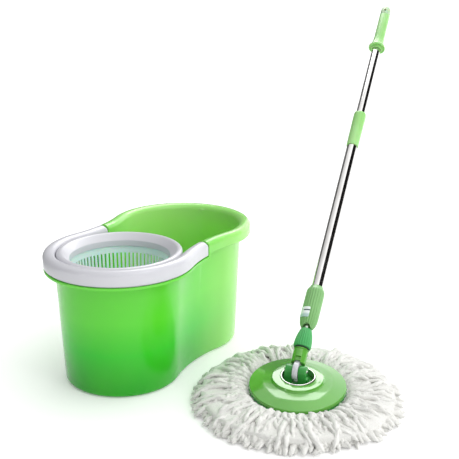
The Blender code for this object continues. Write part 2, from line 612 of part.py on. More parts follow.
def build_lower_pole(pole, light, steel, nylon, label_mat):
    """Ribbed sleeve with its blank label, lower tube, and the slit collet that the collar closes."""
    ledge, seat = DRIVE_NUT[0] - 0.0004, LOWER_TUBE[0] - 0.0004
    sleeve = ribbed("drive_sleeve", [(0.0069, SLEEVE_BOTTOM, False), (0.0097, SLEEVE_BOTTOM, False),
                                     (0.0128, 0.0815, True), (0.0149, SLEEVE_TAPER[0], True),
                                     (SLEEVE_RADIUS, SLEEVE_TAPER[1], True), (SLEEVE_RADIUS, 0.1440, True),
                                     (0.0149, 0.1490, False),
                                     (0.0112, SLEEVE_TOP, False), (0.0098, SLEEVE_TOP, False),
                                     (0.0098, seat, False), (0.0092, seat, False), (0.0092, ledge, False),
                                     (0.0069, ledge, False)], 18, 0.0007, light, pole)
    notch_frame = empty("sleeve_notch_frame", pole)
    notch_frame.location = (0, 0, SLEEVE_BOTTOM - 0.0008)
    notch = turned("sleeve_notch", [(NOTCH_RADIUS, -0.0200), (NOTCH_RADIUS, 0.0200)], light, notch_frame, 20,
                   closed=False)
    notch.rotation_euler = (math.pi / 2, 0, 0)
    combine(sleeve, notch, "DIFFERENCE")
    turned("lower_tube", [(LOWER_TUBE_BORE, LOWER_TUBE[0]), (LOWER_TUBE_RADIUS, LOWER_TUBE[0]),
                          (LOWER_TUBE_RADIUS, LOWER_TUBE[1]), (LOWER_TUBE_BORE, LOWER_TUBE[1])],
           steel, pole, 24)
    slit, steps = math.radians(5), 20
    angles = [slit + (FULL_TURN - 2 * slit) * i / steps for i in range(steps + 1)]
    low, high = COLLET
    loops = arc_shell(angles, ((0.0087, low), (0.0100, low), (0.0098, high), (0.0087, high)))
    finish("lock_collet", loft_mesh(loops, False), nylon, pole)
    steps = 8
    angles = [LABEL_HEADING + LABEL_HALF_ANGLE * (2 * i / steps - 1) for i in range(steps + 1)]
    low, high = LABEL
    bend = SLEEVE_TAPER[1]
    back = [(SLEEVE_RADIUS - 0.0001, low), (SLEEVE_RADIUS + GAP, bend), (SLEEVE_RADIUS + GAP, high)]
    front = [(radius + LABEL_THICKNESS, z) for radius, z in reversed(back)]
    loops = arc_shell(angles, back + front)
    finish("sleeve_label", loft_mesh(loops, False), label_mat, pole)


def build_upper_pole(pole, light, steel, cap_mat, nylon):
    """Twist-lock collar, upper tube with its end ring, grip and hanging cap."""
    low, high = COLLAR
    turned("lock_collar", [(0.0098, low), (0.0106, low), (0.0111, low + 0.0030), (0.0116, high - 0.0080),
                           (0.0108, high), (0.0087, high), (0.0087, COLLET[1] + 0.0010),
                           (0.0103, COLLET[1] + 0.0010), (0.0103, LOWER_TUBE[1] + 0.0004),
                           (0.0098, LOWER_TUBE[1] + 0.0004)], light, pole, 28)
    low, high = UPPER_TUBE
    turned("upper_tube", [(UPPER_TUBE_BORE, low), (UPPER_TUBE_RADIUS, low), (UPPER_TUBE_RADIUS, high),
                          (UPPER_TUBE_BORE, high)], steel, pole, 24)
    turned("tube_end_ring", [(0.0066, low - 0.0030), (0.0082, low - 0.0030), (0.0082, low - GAP),
                             (0.0071, low - GAP), (0.0071, low + 0.0050), (0.0066, low + 0.0050)],
           nylon, pole, 18)
    turned("grip", [(0.0086, GRIP_BOTTOM), (0.0109, GRIP_BOTTOM), (0.0110, 0.7130), (0.0152, 0.7098),
                    (0.0162, 0.7103), (0.0161, 0.7127), (0.0124, 0.7195), (0.0106, 0.7290), (0.0100, 0.7360),
                    (0.0100, GRIP_TOP), (0.0086, GRIP_TOP)], light, pole, 28)
    cap = turned("grip_cap", [(0.0098, GRIP_TOP + GAP), (0.0097, 0.8125), (0.0089, 0.8174),
                              (0.0058, CAP_TOP)], cap_mat, pole, 24, closed=False)
    hole_frame = empty("hanging_hole_frame", pole)
    hole_frame.location = (0, 0, HANGING_HOLE)
    hole = turned("hanging_hole", [(0.0022, -0.0200), (0.0022, 0.0200)], cap_mat, hole_frame, 12,
                  closed=False)
    hole.rotation_euler = (math.pi / 2, 0, 0)
    combine(cap, hole, "DIFFERENCE")


# Assembly ----------------------------------------------------------------------------------------

def clear_scene():
    for obj in list(bpy.data.objects):
        bpy.data.objects.remove(obj)


def head_matrix():
    """The mop head's frame, whose Z is the plate's normal and X the tilt pin, and the pole's angle to Z."""
    level_line = Vector((math.cos(HEAD_TILT_HEADING), math.sin(HEAD_TILT_HEADING), 0))
    tilt = Matrix.Rotation(HEAD_TILT, 4, level_line)
    pole = Vector((math.sin(POLE_LEAN) * math.sin(POLE_HEADING),
                   math.sin(POLE_LEAN) * math.cos(POLE_HEADING), math.cos(POLE_LEAN)))
    local = tilt.inverted() @ pole
    turn = Matrix.Rotation(math.atan2(-local.x, local.y), 4, "Z")
    return Matrix.Translation(HEAD_CENTRE) @ tilt @ turn, math.acos(local.z)


def build():
    clear_scene()
    green = material("bucket_green", (92, 200, 62), 0.25)
    light = material("light_green", (176, 238, 150), 0.40)
    sleeve = material("sleeve_green", (150, 206, 138), 0.45)
    plate = material("plate_green", (122, 200, 92), 0.20)
    dark = material("yoke_green", (48, 140, 60), 0.40)
    teal = material("nut_green", (70, 172, 104), 0.40)
    white = material("white_plastic", (236, 236, 242), 0.35)
    nylon = material("nylon", (226, 228, 226), 0.50)
    steel = material("polished_steel", (206, 206, 208), 0.12, 1.0)
    rubber = material("seal_rubber", (24, 48, 30), 0.70)
    basket = material("basket_plastic", (214, 240, 228), 0.30)
    clear = material("cap_plastic", (206, 236, 200), 0.30)
    fibre = material("microfibre", (240, 240, 240), 0.95)
    sticker = material("blank_label", (232, 240, 236), 0.50)

    build_tub(green)
    build_carry_handle(white, steel)
    lobe = empty("basket_axis")
    lobe.location = (0, FRONT_Y, 0)
    build_basket_ring(white, lobe)
    build_spin_basket(basket, lobe)
    build_basket_bearing(lobe, green, white, steel, nylon)

    matrix, pole_tilt = head_matrix()
    head = empty("head_frame")
    head.matrix_world = matrix
    pivot = empty("tilt_pivot", head)
    pivot.location = (PIVOT_SIDE, 0, PIVOT_HEIGHT)
    pole = empty("pole_frame", pivot)
    pole.rotation_euler = (-pole_tilt, 0, 0)
    build_plate(head, plate, dark, steel)
    build_strands(matrix, fibre)
    build_yoke(head, pivot, dark, steel)
    build_neck(pole, white, plate, teal, rubber, steel)
    build_drive(pole, steel, nylon)
    build_lower_pole(pole, sleeve, steel, nylon, sticker)
    build_upper_pole(pole, light, steel, clear, nylon)


build()
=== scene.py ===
"""Looks of the spin mop set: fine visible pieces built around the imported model, with their materials, the
pale floor, the soft studio light and the camera. Metres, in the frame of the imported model."""

import json
import math
import random

import bmesh
import bpy
from mathutils import Matrix, Vector, noise


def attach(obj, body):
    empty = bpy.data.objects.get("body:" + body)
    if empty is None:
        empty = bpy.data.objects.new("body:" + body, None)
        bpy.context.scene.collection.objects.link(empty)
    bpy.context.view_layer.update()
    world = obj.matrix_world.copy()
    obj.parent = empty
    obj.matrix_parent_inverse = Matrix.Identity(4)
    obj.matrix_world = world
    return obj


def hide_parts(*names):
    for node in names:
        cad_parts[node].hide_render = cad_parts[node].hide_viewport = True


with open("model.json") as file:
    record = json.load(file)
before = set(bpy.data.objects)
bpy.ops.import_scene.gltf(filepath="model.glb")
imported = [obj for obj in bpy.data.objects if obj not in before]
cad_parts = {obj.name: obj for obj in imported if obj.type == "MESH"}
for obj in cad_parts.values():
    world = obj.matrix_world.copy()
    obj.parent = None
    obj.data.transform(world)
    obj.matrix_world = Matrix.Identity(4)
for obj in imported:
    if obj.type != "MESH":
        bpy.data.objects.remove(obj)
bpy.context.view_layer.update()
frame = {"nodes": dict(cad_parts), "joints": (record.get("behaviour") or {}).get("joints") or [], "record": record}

FULL_TURN = 2 * math.pi
SHARP_ANGLE = math.radians(38)
RIB_SHARP_ANGLE = math.radians(50)

# The joints give every moving piece its place
JOINTS = {joint["name"]: joint for joint in frame["joints"]}
LOBE_AXIS = Vector(JOINTS["basket_spin"]["pos_m"])
HANDLE_PIVOT = Vector(JOINTS["handle_lift"]["pos_m"])


def placed(x_axis, z_axis, origin):
    """The matrix of a frame from its X and Z axes and its origin."""
    z = Vector(z_axis).normalized()
    x = (Vector(x_axis) - z * z.dot(Vector(x_axis))).normalized()
    matrix = Matrix((x, z.cross(x), z)).transposed().to_4x4()
    matrix.translation = Vector(origin)
    return matrix


PIN_AXIS = -Vector(JOINTS["yoke_tilt"]["axis"])
HEAD_NORMAL = Vector(JOINTS["head_swivel"]["axis"])
LOBE = Matrix.Translation((0, LOBE_AXIS.y, 0))
HEAD = placed(PIN_AXIS, HEAD_NORMAL, JOINTS["head_swivel"]["pos_m"])
PIVOT = placed(PIN_AXIS, HEAD_NORMAL, JOINTS["yoke_tilt"]["pos_m"])
POLE = placed(PIN_AXIS, JOINTS["pole_press"]["axis"], JOINTS["yoke_tilt"]["pos_m"])
WORLD = Matrix.Identity(4)
HEAD_CENTRE = HEAD.translation
PIVOT_HEIGHT = (PIVOT.translation - HEAD.translation).dot(HEAD_NORMAL)


# Camera ------------------------------------------------------------------------------------------

CAMERA_PLACE = (0.8712, -1.3073, 0.7037)
CAMERA_DOWN = math.radians(16.53)                   # how far it looks below level
CAMERA_HEADING = math.radians(28.56)
CAMERA_LENS = 71.26                                 # in millimetres, on a sensor 36 mm wide


def add_camera():
    """The camera stands at the height of a low table and looks down on the set."""
    data = bpy.data.cameras.new("camera")
    data.lens = CAMERA_LENS
    data.sensor_width = 36
    data.clip_end = 60
    camera = bpy.data.objects.new("camera", data)
    camera.location = CAMERA_PLACE
    camera.rotation_euler = (math.pi / 2 - CAMERA_DOWN, 0, CAMERA_HEADING)
    bpy.context.scene.collection.objects.link(camera)
    bpy.context.scene.camera = camera


# Materials ---------------------------------------------------------------------------------------

def linear(channel):
    """One 0 to 255 display value as the linear value that a shader takes."""
    c = channel / 255
    return c / 12.92 if c <= 0.04045 else ((c + 0.055) / 1.055) ** 2.4


def colour(rgb):
    """A display colour as a linear colour with its alpha."""
    return [linear(c) for c in rgb] + [1]


RANGE_SOCKETS = ("From Min", "From Max", "To Min", "To Max")


class Nodes:
    """A material's node tree, with short calls for the nodes that these materials use."""

    def __init__(self, name, roughness, metallic=0.0, **sockets):
        self.material = bpy.data.materials.new(name)
        self.material.use_nodes = True
        self.tree = self.material.node_tree
        self.shader = self.tree.nodes["Principled BSDF"]
        self.shader.inputs["Roughness"].default_value = roughness
        self.shader.inputs["Metallic"].default_value = metallic
        for socket, value in sockets.items():
            self.shader.inputs[socket.replace("_", " ")].default_value = value
        self.place = self.new("ShaderNodeTexCoord").outputs["Object"]

    def new(self, kind, **settings):
        """A new node with its settings."""
        node = self.tree.nodes.new(kind)
        for key, value in settings.items():
            setattr(node, key, value)
        return node

    def link(self, source, target):
        self.tree.links.new(source, target)

    def stretched(self, scale, rotation=(0, 0, 0), origin=(0, 0, 0)):
        """Object coordinates measured from an origin in a turned frame, then scaled."""
        node = self.new("ShaderNodeMapping", vector_type="TEXTURE")
        node.inputs["Location"].default_value = origin
        node.inputs["Rotation"].default_value = rotation
        self.link(self.place, node.inputs["Vector"])
        spread = self.new("ShaderNodeVectorMath", operation="MULTIPLY")
        spread.inputs[1].default_value = scale
        self.link(node.outputs["Vector"], spread.inputs[0])
        return spread.outputs["Vector"]

    def noise(self, scale, detail=3.0, vector=None, roughness=0.5):
        """Noise over object coordinates, or over another vector."""
        node = self.new("ShaderNodeTexNoise")
        node.inputs["Scale"].default_value = scale
        node.inputs["Detail"].default_value = detail
        node.inputs["Roughness"].default_value = roughness
        self.link(vector or self.place, node.inputs["Vector"])
        return node.outputs["Fac"]

    def ramp(self, source, stops):
        """Colours or greys against a value. Each stop is (position, rgb or grey)."""
        node = self.new("ShaderNodeValToRGB")
        elements = node.color_ramp.elements
        while len(elements) < len(stops):
            elements.new(0.5)
        for element, (position, value) in zip(elements, stops):
            element.position = position
            element.color = colour(value) if hasattr(value, "__len__") else (value, value, value, 1)
        self.link(source, node.inputs["Fac"])
        return node.outputs["Color"]

    def axis(self, name, vector=None):
        """The X, Y or Z of object coordinates, or of another vector."""
        node = self.new("ShaderNodeSeparateXYZ")
        self.link(vector or self.place, node.inputs["Vector"])
        return node.outputs[name]

    def span(self, source, low, high, to_low=0.0, to_high=1.0):
        """Takes one span of values smoothly to another."""
        node = self.new("ShaderNodeMapRange", interpolation_type="SMOOTHSTEP")
        for socket, value in zip(RANGE_SOCKETS, (low, high, to_low, to_high)):
            node.inputs[socket].default_value = value
        self.link(source, node.inputs["Value"])
        return node.outputs["Result"]

    def math(self, operation, a, b):
        """One calculation with two values, each a socket or a number."""
        node = self.new("ShaderNodeMath", operation=operation)
        for index, value in enumerate((a, b)):
            if hasattr(value, "node"):
                self.link(value, node.inputs[index])
            else:
                node.inputs[index].default_value = value
        return node.outputs["Value"]

    def mix(self, factor, a, b):
        """A mix of two colours, each a socket or a display colour."""
        node = self.new("ShaderNodeMix", data_type="RGBA")
        for socket, value in ((node.inputs[0], factor), (node.inputs[6], a), (node.inputs[7], b)):
            if hasattr(value, "node"):
                self.link(value, socket)
            else:
                socket.default_value = value if not hasattr(value, "__len__") else colour(value)
        return node.outputs[2]

    def bump(self, height, strength, distance):
        """Roughens the shader's normal by a height."""
        node = self.new("ShaderNodeBump")
        node.inputs["Strength"].default_value = strength
        node.inputs["Distance"].default_value = distance
        self.link(height, node.inputs["Height"])
        self.link(node.outputs["Normal"], self.shader.inputs["Normal"])

    def set(self, socket, source):
        """Drives one of the shader's sockets."""
        self.link(source, self.shader.inputs[socket])


def plastic(name, dark, light, roughness, grain_depth=0.00002, cloud=14.0, **sockets):
    """Moulded plastic: a slow drift of colour, a polish that varies, and a fine moulded grain."""
    nodes = Nodes(name, roughness, **sockets)
    drift = nodes.noise(cloud, 2.0)
    nodes.set("Base Color", nodes.ramp(drift, [(0.3, dark), (0.7, light)]))
    wear = nodes.noise(60.0, 4.0)
    nodes.set("Roughness", nodes.span(wear, 0.3, 0.75, roughness * 0.92, roughness * 1.12))
    nodes.bump(nodes.noise(900.0, 2.0), 0.25, grain_depth)
    return nodes.material


def bucket_plastic():
    """Glossy coloured polypropylene that light passes into: painted shade at the foot, painted light at the top
    and back.
    """
    nodes = Nodes("bucket_green", 0.22, Subsurface_Weight=0.25, Subsurface_Scale=0.02, Coat_Weight=0.25,
                  Coat_Roughness=0.08, Specular_IOR_Level=0.35)
    nodes.shader.inputs["Subsurface Radius"].default_value = (0.5, 1.0, 0.25)
    # Painted shade and light: the green darkens towards the foot and pales towards the rim.
    height = nodes.span(nodes.axis("Z"), 0.0, 0.235)
    body = nodes.ramp(height, [(0.0, (0, 152, 2)), (0.25, (20, 188, 16)), (0.60, (84, 208, 44)),
                               (0.93, (92, 204, 50)), (1.0, (122, 204, 88))])
    # Painted light: everything towards the back lobe, the tub's inside too, turns paler green.
    back = nodes.span(nodes.axis("Y"), -0.05, 0.12, 0.0, 0.70)
    body = nodes.mix(back, body, (172, 232, 132))
    cloud = nodes.noise(5.0, 2.0)
    nodes.set("Base Color", nodes.mix(nodes.span(cloud, 0.35, 0.7, 0.0, 0.20), body, (92, 206, 44)))
    wear = nodes.noise(38.0, 4.0)
    nodes.set("Roughness", nodes.span(wear, 0.3, 0.75, 0.18, 0.27))
    nodes.bump(nodes.noise(26.0, 2.0), 0.10, 0.0006)
    return nodes.material


def polished_steel(name, frame_matrix):
    """Mirror-polished steel with faint lengthwise draw marks and a little haze."""
    nodes = Nodes(name, 0.07, 1.0)
    rotation = frame_matrix.to_euler()
    lengthwise = nodes.stretched((900, 900, 9), rotation, frame_matrix.translation)
    marks = nodes.noise(1.0, 3.0, lengthwise)
    haze = nodes.noise(30.0, 3.0)
    nodes.set("Base Color", nodes.ramp(haze, [(0.3, (214, 212, 210)), (0.7, (228, 227, 226))]))
    blend = nodes.math("ADD", nodes.math("MULTIPLY", marks, 0.6), nodes.math("MULTIPLY", haze, 0.4))
    nodes.set("Roughness", nodes.span(blend, 0.3, 0.7, 0.045, 0.12))
    nodes.bump(marks, 0.05, 0.00001)
    return nodes.material


def microfibre():
    """Fluffy white yarn: soft sheen, painted shade as grey between the tufts, and a fine fibrous bump."""
    nodes = Nodes("microfibre", 0.95, Sheen_Weight=0.6, Sheen_Roughness=0.45)
    nodes.shader.inputs["Sheen Tint"].default_value = (1, 1, 1, 1)
    tuft_and_painted_shade = nodes.noise(420.0, 5.0, roughness=0.65)
    slow = nodes.noise(45.0, 2.0)
    # Painted shade: the low parts of the tuft noise turn grey, as shade between the tufts.
    base = nodes.ramp(tuft_and_painted_shade, [(0.28, (208, 207, 203)), (0.55, (226, 226, 222))])
    nodes.set("Base Color", nodes.mix(nodes.span(slow, 0.35, 0.7, 0.0, 0.5), base, (221, 220, 215)))
    nodes.bump(tuft_and_painted_shade, 0.6, 0.0007)
    return nodes.material


def label_paper():
    """A blank pale sticker with a plain dark bar and a soft tint over its lower half."""
    nodes = Nodes("blank_label", 0.35, Coat_Weight=0.3, Coat_Roughness=0.1)
    local = nodes.stretched((1, 1, 1), POLE.to_euler(), POLE.translation)
    along = nodes.axis("Z", local)
    tint = nodes.span(along, 0.0960, 0.1010, 1.0, 0.0)
    base = nodes.mix(tint, (236, 244, 242), (176, 204, 200))
    above, below = nodes.span(along, 0.1040, 0.1044), nodes.span(along, 0.1062, 0.1066, 1.0, 0.0)
    beside = nodes.span(nodes.axis("Y", local), -0.0130, -0.0122, 1.0, 0.0)
    bar = nodes.math("MULTIPLY", nodes.math("MULTIPLY", above, below), beside)
    nodes.set("Base Color", nodes.mix(bar, base, (34, 70, 74)))
    nodes.bump(nodes.noise(900.0, 2.0), 0.1, 0.00001)
    return nodes.material


def make_materials():
    """The set's materials, by the names of their slots."""
    return {
        "bucket_green": bucket_plastic(),
        "white_plastic": plastic("white_plastic", (200, 200, 206), (202, 202, 208), 0.30,
                                 grain_depth=0.000004, cloud=5.0, Coat_Weight=0.2),
        "basket_plastic": plastic("basket_plastic", (212, 236, 230), (226, 244, 240), 0.30, Coat_Weight=0.2,
                                  Subsurface_Weight=0.35, Subsurface_Scale=0.006),
        "plate_green": plastic("plate_green", (84, 160, 52), (100, 172, 66), 0.13, Coat_Weight=0.6,
                               Coat_Roughness=0.05, Subsurface_Weight=0.08, Subsurface_Scale=0.004),
        "yoke_green": plastic("yoke_green", (40, 138, 52), (58, 156, 66), 0.34, Coat_Weight=0.1),
        "nut_green": plastic("nut_green", (60, 162, 84), (80, 178, 102), 0.34, Coat_Weight=0.15),
        "sleeve_green": plastic("sleeve_green", (114, 172, 98), (131, 184, 117), 0.36, Coat_Weight=0.15),
        "light_green": plastic("light_green", (142, 206, 112), (162, 216, 138), 0.36, Coat_Weight=0.15,
                               Subsurface_Weight=0.1, Subsurface_Scale=0.003),
        "cap_plastic": plastic("cap_plastic", (168, 204, 156), (184, 212, 174), 0.30, Coat_Weight=0.2,
                               Subsurface_Weight=0.3, Subsurface_Scale=0.004),
        "nylon": plastic("nylon", (224, 226, 222), (236, 237, 233), 0.45),
        "seal_rubber": plastic("seal_rubber", (20, 44, 26), (30, 58, 36), 0.6),
        "polished_steel": polished_steel("polished_steel", HEAD),
        "tube_steel": polished_steel("tube_steel", POLE),
        "microfibre": microfibre(),
        "blank_label": label_paper(),
    }


MATERIALS = make_materials()


# Mesh tools --------------------------------------------------------------------------------------

def fillet(corners, steps=5, closed=True):
    """Rounds a path's corners. Each corner is (a, b, radius); a radius of 0 keeps the corner as one point."""
    points = []
    count = len(corners)
    for i, (a, b, radius) in enumerate(corners):
        here = Vector((a, b))
        inside = closed or 0 < i < count - 1
        if radius <= 0 or not inside:
            points.append((a, b))
            continue
        before = (Vector(corners[i - 1][:2]) - here).normalized()
        after = (Vector(corners[(i + 1) % count][:2]) - here).normalized()
        angle = before.angle(after)
        reach = radius / math.tan(angle / 2)
        centre = here + (before + after).normalized() * (radius / math.sin(angle / 2))
        start = here + before * reach - centre
        end = here + after * reach - centre
        turn = start.angle_signed(end)
        for k in range(steps + 1):
            spun = Matrix.Rotation(-turn * k / steps, 2) @ start
            points.append(tuple(centre + spun))
    return points


def loft_mesh(loops, closed):
    """Skins equal loops of points. If closed, the last loop joins the first, or else both ends are capped."""
    bm = bmesh.new()
    rows = [[bm.verts.new(point) for point in loop] for loop in loops]
    count = len(rows[0])
    for i in range(len(rows) if closed else len(rows) - 1):
        low, high = rows[i], rows[(i + 1) % len(rows)]
        for j in range(count):
            k = (j + 1) % count
            bm.faces.new((low[j], low[k], high[k], high[j]))
    if not closed:
        bm.faces.new(rows[0])
        bm.faces.new(rows[-1])
    return bm


def mesh_from(bm, name, matrix):
    """Turns a bmesh into a mesh in the row frame, with its faces outward."""
    bmesh.ops.recalc_face_normals(bm, faces=bm.faces)
    mesh = bpy.data.meshes.new(name)
    bm.to_mesh(mesh)
    bm.free()
    mesh.transform(matrix)
    return mesh


def smooth(mesh, sharp=SHARP_ANGLE):
    """Shades a mesh smooth, apart from its sharp edges."""
    mesh.shade_smooth()
    mesh.set_sharp_from_angle(angle=sharp)


def piece(name, bm, slot, body, matrix=WORLD, replaced=(), sharp=SHARP_ANGLE):
    """A finished piece with its material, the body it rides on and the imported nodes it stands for."""
    mesh = mesh_from(bm, name, matrix)
    smooth(mesh, sharp)
    mesh.materials.append(MATERIALS[slot])
    obj = bpy.data.objects.new(name, mesh)
    bpy.context.scene.collection.objects.link(obj)
    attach(obj, body)
    if replaced:
        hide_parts(*replaced)
    return obj


def polar(radius, angle, z):
    """The point at a radius and an angle round Z."""
    return Vector((radius * math.cos(angle), radius * math.sin(angle), z))


def circle(radius, z, segments):
    """A loop of points round Z."""
    return [polar(radius, FULL_TURN * i / segments, z) for i in range(segments)]


def turned(name, corners, slot, body, matrix=WORLD, replaced=(), segments=64, closed=True, steps=4):
    """A round piece about Z from (radius, height, corner radius) corners."""
    profile = fillet(corners, steps, closed)
    loops = [circle(radius, z, segments) for radius, z in profile]
    return piece(name, loft_mesh(loops, closed), slot, body, matrix, replaced)


def ribbed(name, rows, ribs, depth, slot, body, matrix, replaced, samples=8, sharpness=1.0):
    """A round piece with rounded lengthwise ribs. Each row is (radius, height, share of the rib's depth)."""
    count = ribs * samples
    loops = []
    for radius, z, share in rows:
        loop = []
        for i in range(count):
            a = FULL_TURN * i / count
            wave = abs(math.cos(a * ribs / 2)) ** sharpness
            loop.append(polar(radius - depth * share * (1 - wave), a, z))
        loops.append(loop)
    return piece(name, loft_mesh(loops, True), slot, body, matrix, replaced, RIB_SHARP_ANGLE)


def carve(target, low, high, matrix):
    """Cuts a box, given by two corners in a frame, out of a piece."""
    bm = bmesh.new()
    bmesh.ops.create_cube(bm, size=1.0)
    bmesh.ops.scale(bm, vec=Vector(high) - Vector(low), verts=bm.verts)
    bmesh.ops.translate(bm, vec=(Vector(high) + Vector(low)) / 2, verts=bm.verts)
    cut_with(target, mesh_from(bm, "cutter", matrix))


def cut_round(target, radius, height):
    """Cuts a round hole right through a pole piece, along the pole's Y, at a height on the pole."""
    bm = loft_mesh([circle(radius, -0.02, 32), circle(radius, 0.02, 32)], False)
    matrix = POLE @ Matrix.Translation((0, 0, height)) @ Matrix.Rotation(math.pi / 2, 4, "X")
    cut_with(target, mesh_from(bm, "cutter", matrix))


def cut_with(target, mesh):
    """Applies an exact cut, so no modifier or cutter stays behind."""
    cutter = bpy.data.objects.new("cutter", mesh)
    bpy.context.scene.collection.objects.link(cutter)
    modifier = target.modifiers.new("cut", "BOOLEAN")
    modifier.object = cutter
    modifier.operation = "DIFFERENCE"
    modifier.solver = "EXACT"
    depsgraph = bpy.context.evaluated_depsgraph_get()
    made = bpy.data.meshes.new_from_object(target.evaluated_get(depsgraph))
    target.modifiers.clear()
    old = target.data
    target.data = made
    bpy.data.objects.remove(cutter)
    bpy.data.meshes.remove(mesh)
    bpy.data.meshes.remove(old)
    smooth(made)


# Bucket ------------------------------------------------------------------------------------------

# The outline's driving sizes, at the outside of the rim, as in the model
LOBE_SPACING = 0.198
FRONT_RADIUS = 0.130
BACK_RADIUS = 0.132
WAIST_RADIUS = 0.257
FRONT_Y = -LOBE_SPACING / 2
BACK_Y = LOBE_SPACING / 2
RIM_TOP = 0.233
RIM_LIP = 0.211
LEDGE_TOP = 0.2055
LEDGE_BOTTOM = 0.2025
WALL_TOP_INSET = 0.0195
WALL_FOOT_INSET = 0.0286
WALL = 0.0026
TUB_FLOOR = 0.0032
RIM_START_Y = 0.0026
END_WALL = 0.0025

FRONT_REACH = FRONT_RADIUS + WAIST_RADIUS           # from a lobe's centre to the centre of a waist's arc
BACK_REACH = BACK_RADIUS + WAIST_RADIUS
WAIST_ALONG = (FRONT_REACH ** 2 - BACK_REACH ** 2 + LOBE_SPACING ** 2) / (2 * LOBE_SPACING)
WAIST_X = math.sqrt(FRONT_REACH ** 2 - WAIST_ALONG ** 2)
WAIST_Y = FRONT_Y + WAIST_ALONG
FRONT_TANGENT = math.atan2(WAIST_ALONG, WAIST_X)
BACK_TANGENT = math.atan2(LOBE_SPACING - WAIST_ALONG, WAIST_X)
FRONT_TANGENT_Y = WAIST_Y - WAIST_RADIUS * math.sin(FRONT_TANGENT)
BACK_TANGENT_Y = WAIST_Y + WAIST_RADIUS * math.sin(BACK_TANGENT)


def lobe_stations(centre_y, radius, start, end, segments):
    """Stations round a lobe. Each is an arc's centre, radius, side (1 or -1) and an angle on it."""
    return [(0.0, centre_y, radius, 1, start + (end - start) * i / segments) for i in range(segments + 1)]


def waist_station(side, y):
    """The station on the waist's arc at a place along the bucket."""
    lift = math.asin((y - WAIST_Y) / WAIST_RADIUS)
    return (side * WAIST_X, WAIST_Y, WAIST_RADIUS, -1, math.pi - lift if side > 0 else lift)


def place(station, inset, z):
    """The point that lies inset from the rim's outside at a station."""
    cx, cy, radius, sign, angle = station
    reach = radius - sign * inset
    return Vector((cx + reach * math.cos(angle), cy + reach * math.sin(angle), z))


def between(low, high, count):
    """count values spread evenly inside a span, without its ends."""
    return [low + (high - low) * (i + 1) / (count + 1) for i in range(count)]


def tub_stations():
    """Stations round the tub with their rim form: 0 is the low ledge, 1 the end wall and 2 the rolled rim."""
    step = 0.0006
    waist = [(y, 0) for y in between(FRONT_TANGENT_Y, RIM_START_Y - step, 11)]
    waist += [(RIM_START_Y - step, 0), (RIM_START_Y - step / 2, 0.7), (RIM_START_Y, 1),
              (RIM_START_Y + END_WALL, 1), (RIM_START_Y + END_WALL + step, 2)]
    waist += [(y, 2) for y in between(RIM_START_Y + END_WALL + step, BACK_TANGENT_Y, 11)]
    front = lobe_stations(FRONT_Y, FRONT_RADIUS, math.pi - FRONT_TANGENT, FULL_TURN + FRONT_TANGENT, 72)
    back = lobe_stations(BACK_Y, BACK_RADIUS, -BACK_TANGENT, math.pi + BACK_TANGENT, 72)
    result = [(station, 0) for station in front]
    result += [(waist_station(1, y), form) for y, form in waist]
    result += [(station, 2) for station in back]
    result += [(waist_station(-1, y), form) for y, form in reversed(waist)]
    return result


def wall_inset(z):
    """How far the tapered wall stands in from the rim's outside at a height."""
    return WALL_FOOT_INSET + (WALL_TOP_INSET - WALL_FOOT_INSET) * z / LEDGE_TOP


def tub_profile(form):
    """Rounded section from the underside, up the outside, over the rim and down the inside to the floor."""
    rolled = [(0.0193, 0.2258, 0.001), (0.0026, 0.2258, 0.003), (0.0024, RIM_LIP, 0.0008),
              (0.0, RIM_LIP, 0.0008), (0.0, RIM_TOP + 0.0002, 0.0095), (0.0214, RIM_TOP + 0.0002, 0.0105)]
    low = [(WALL_TOP_INSET, LEDGE_BOTTOM, 0.001), (0.0035, LEDGE_BOTTOM, 0.001), (0.0024, 0.2010, 0.0004),
           (0.0006, 0.2012, 0.0008), (0.0006, LEDGE_TOP, 0.0012), (0.0219, LEDGE_TOP, 0.0010)]
    if form == 2:
        rim = rolled
    elif form == 0:
        rim = low
    else:
        rim = low[:3] + [(0.0, 0.2012, 0.0008)] + rolled[4:]
    base = [(0.0480, 0.0, 0), (0.0290, 0.0, 0.0085)]
    wall = [(wall_inset(z), z, 0) for z in (0.060, 0.120, 0.175)]
    inner_wall = [(inset + WALL, z, 0) for inset, z, _ in reversed(wall)]
    floor = [(WALL_FOOT_INSET + WALL, TUB_FLOOR, 0.0085), (0.0520, TUB_FLOOR, 0)]
    return fillet(base + wall + rim + inner_wall + floor, 5, False)


def build_tub():
    """The tub in one skin, from its underside over the rim to its floor, and the handle's pivot bosses."""
    stations = tub_stations()
    profiles = {0: tub_profile(0), 1: tub_profile(1), 2: tub_profile(2)}
    rows = len(profiles[0])
    loops = []
    for row in range(rows):
        loop = []
        for station, form in stations:
            if form in profiles:
                inset, z = profiles[form][row]
            else:
                low, high = profiles[0][row], profiles[1][row]
                inset, z = (low[i] + (high[i] - low[i]) * form for i in range(2))
            loop.append(place(station, inset, z))
        loops.append(loop)
    piece("tub", loft_mesh(loops, False), "bucket_green", "bucket", replaced=("bucket_tub",))
    build_pivot_bosses()


def build_pivot_bosses():
    """The two upright tongues that the carry handle turns on."""
    radius = 0.0045
    outer = place(waist_station(1, HANDLE_PIVOT.y), 0.0, 0.0).x
    foot = LEDGE_TOP - 0.0012 - HANDLE_PIVOT.z
    outline = [(radius * math.cos(a), radius * math.sin(a)) for a in (math.pi * i / 16 for i in range(17))]
    outline += [(-radius, foot), (radius, foot)]
    for side, label in ((1, "right"), (-1, "left")):
        loops = []
        for inset in (0.0054, 0.0162):
            x = side * (outer - inset)
            loops.append([Vector((x, HANDLE_PIVOT.y + y, HANDLE_PIVOT.z + z)) for y, z in outline])
        piece(f"pivot_boss_{label}", loft_mesh(loops, False), "bucket_green", "bucket")


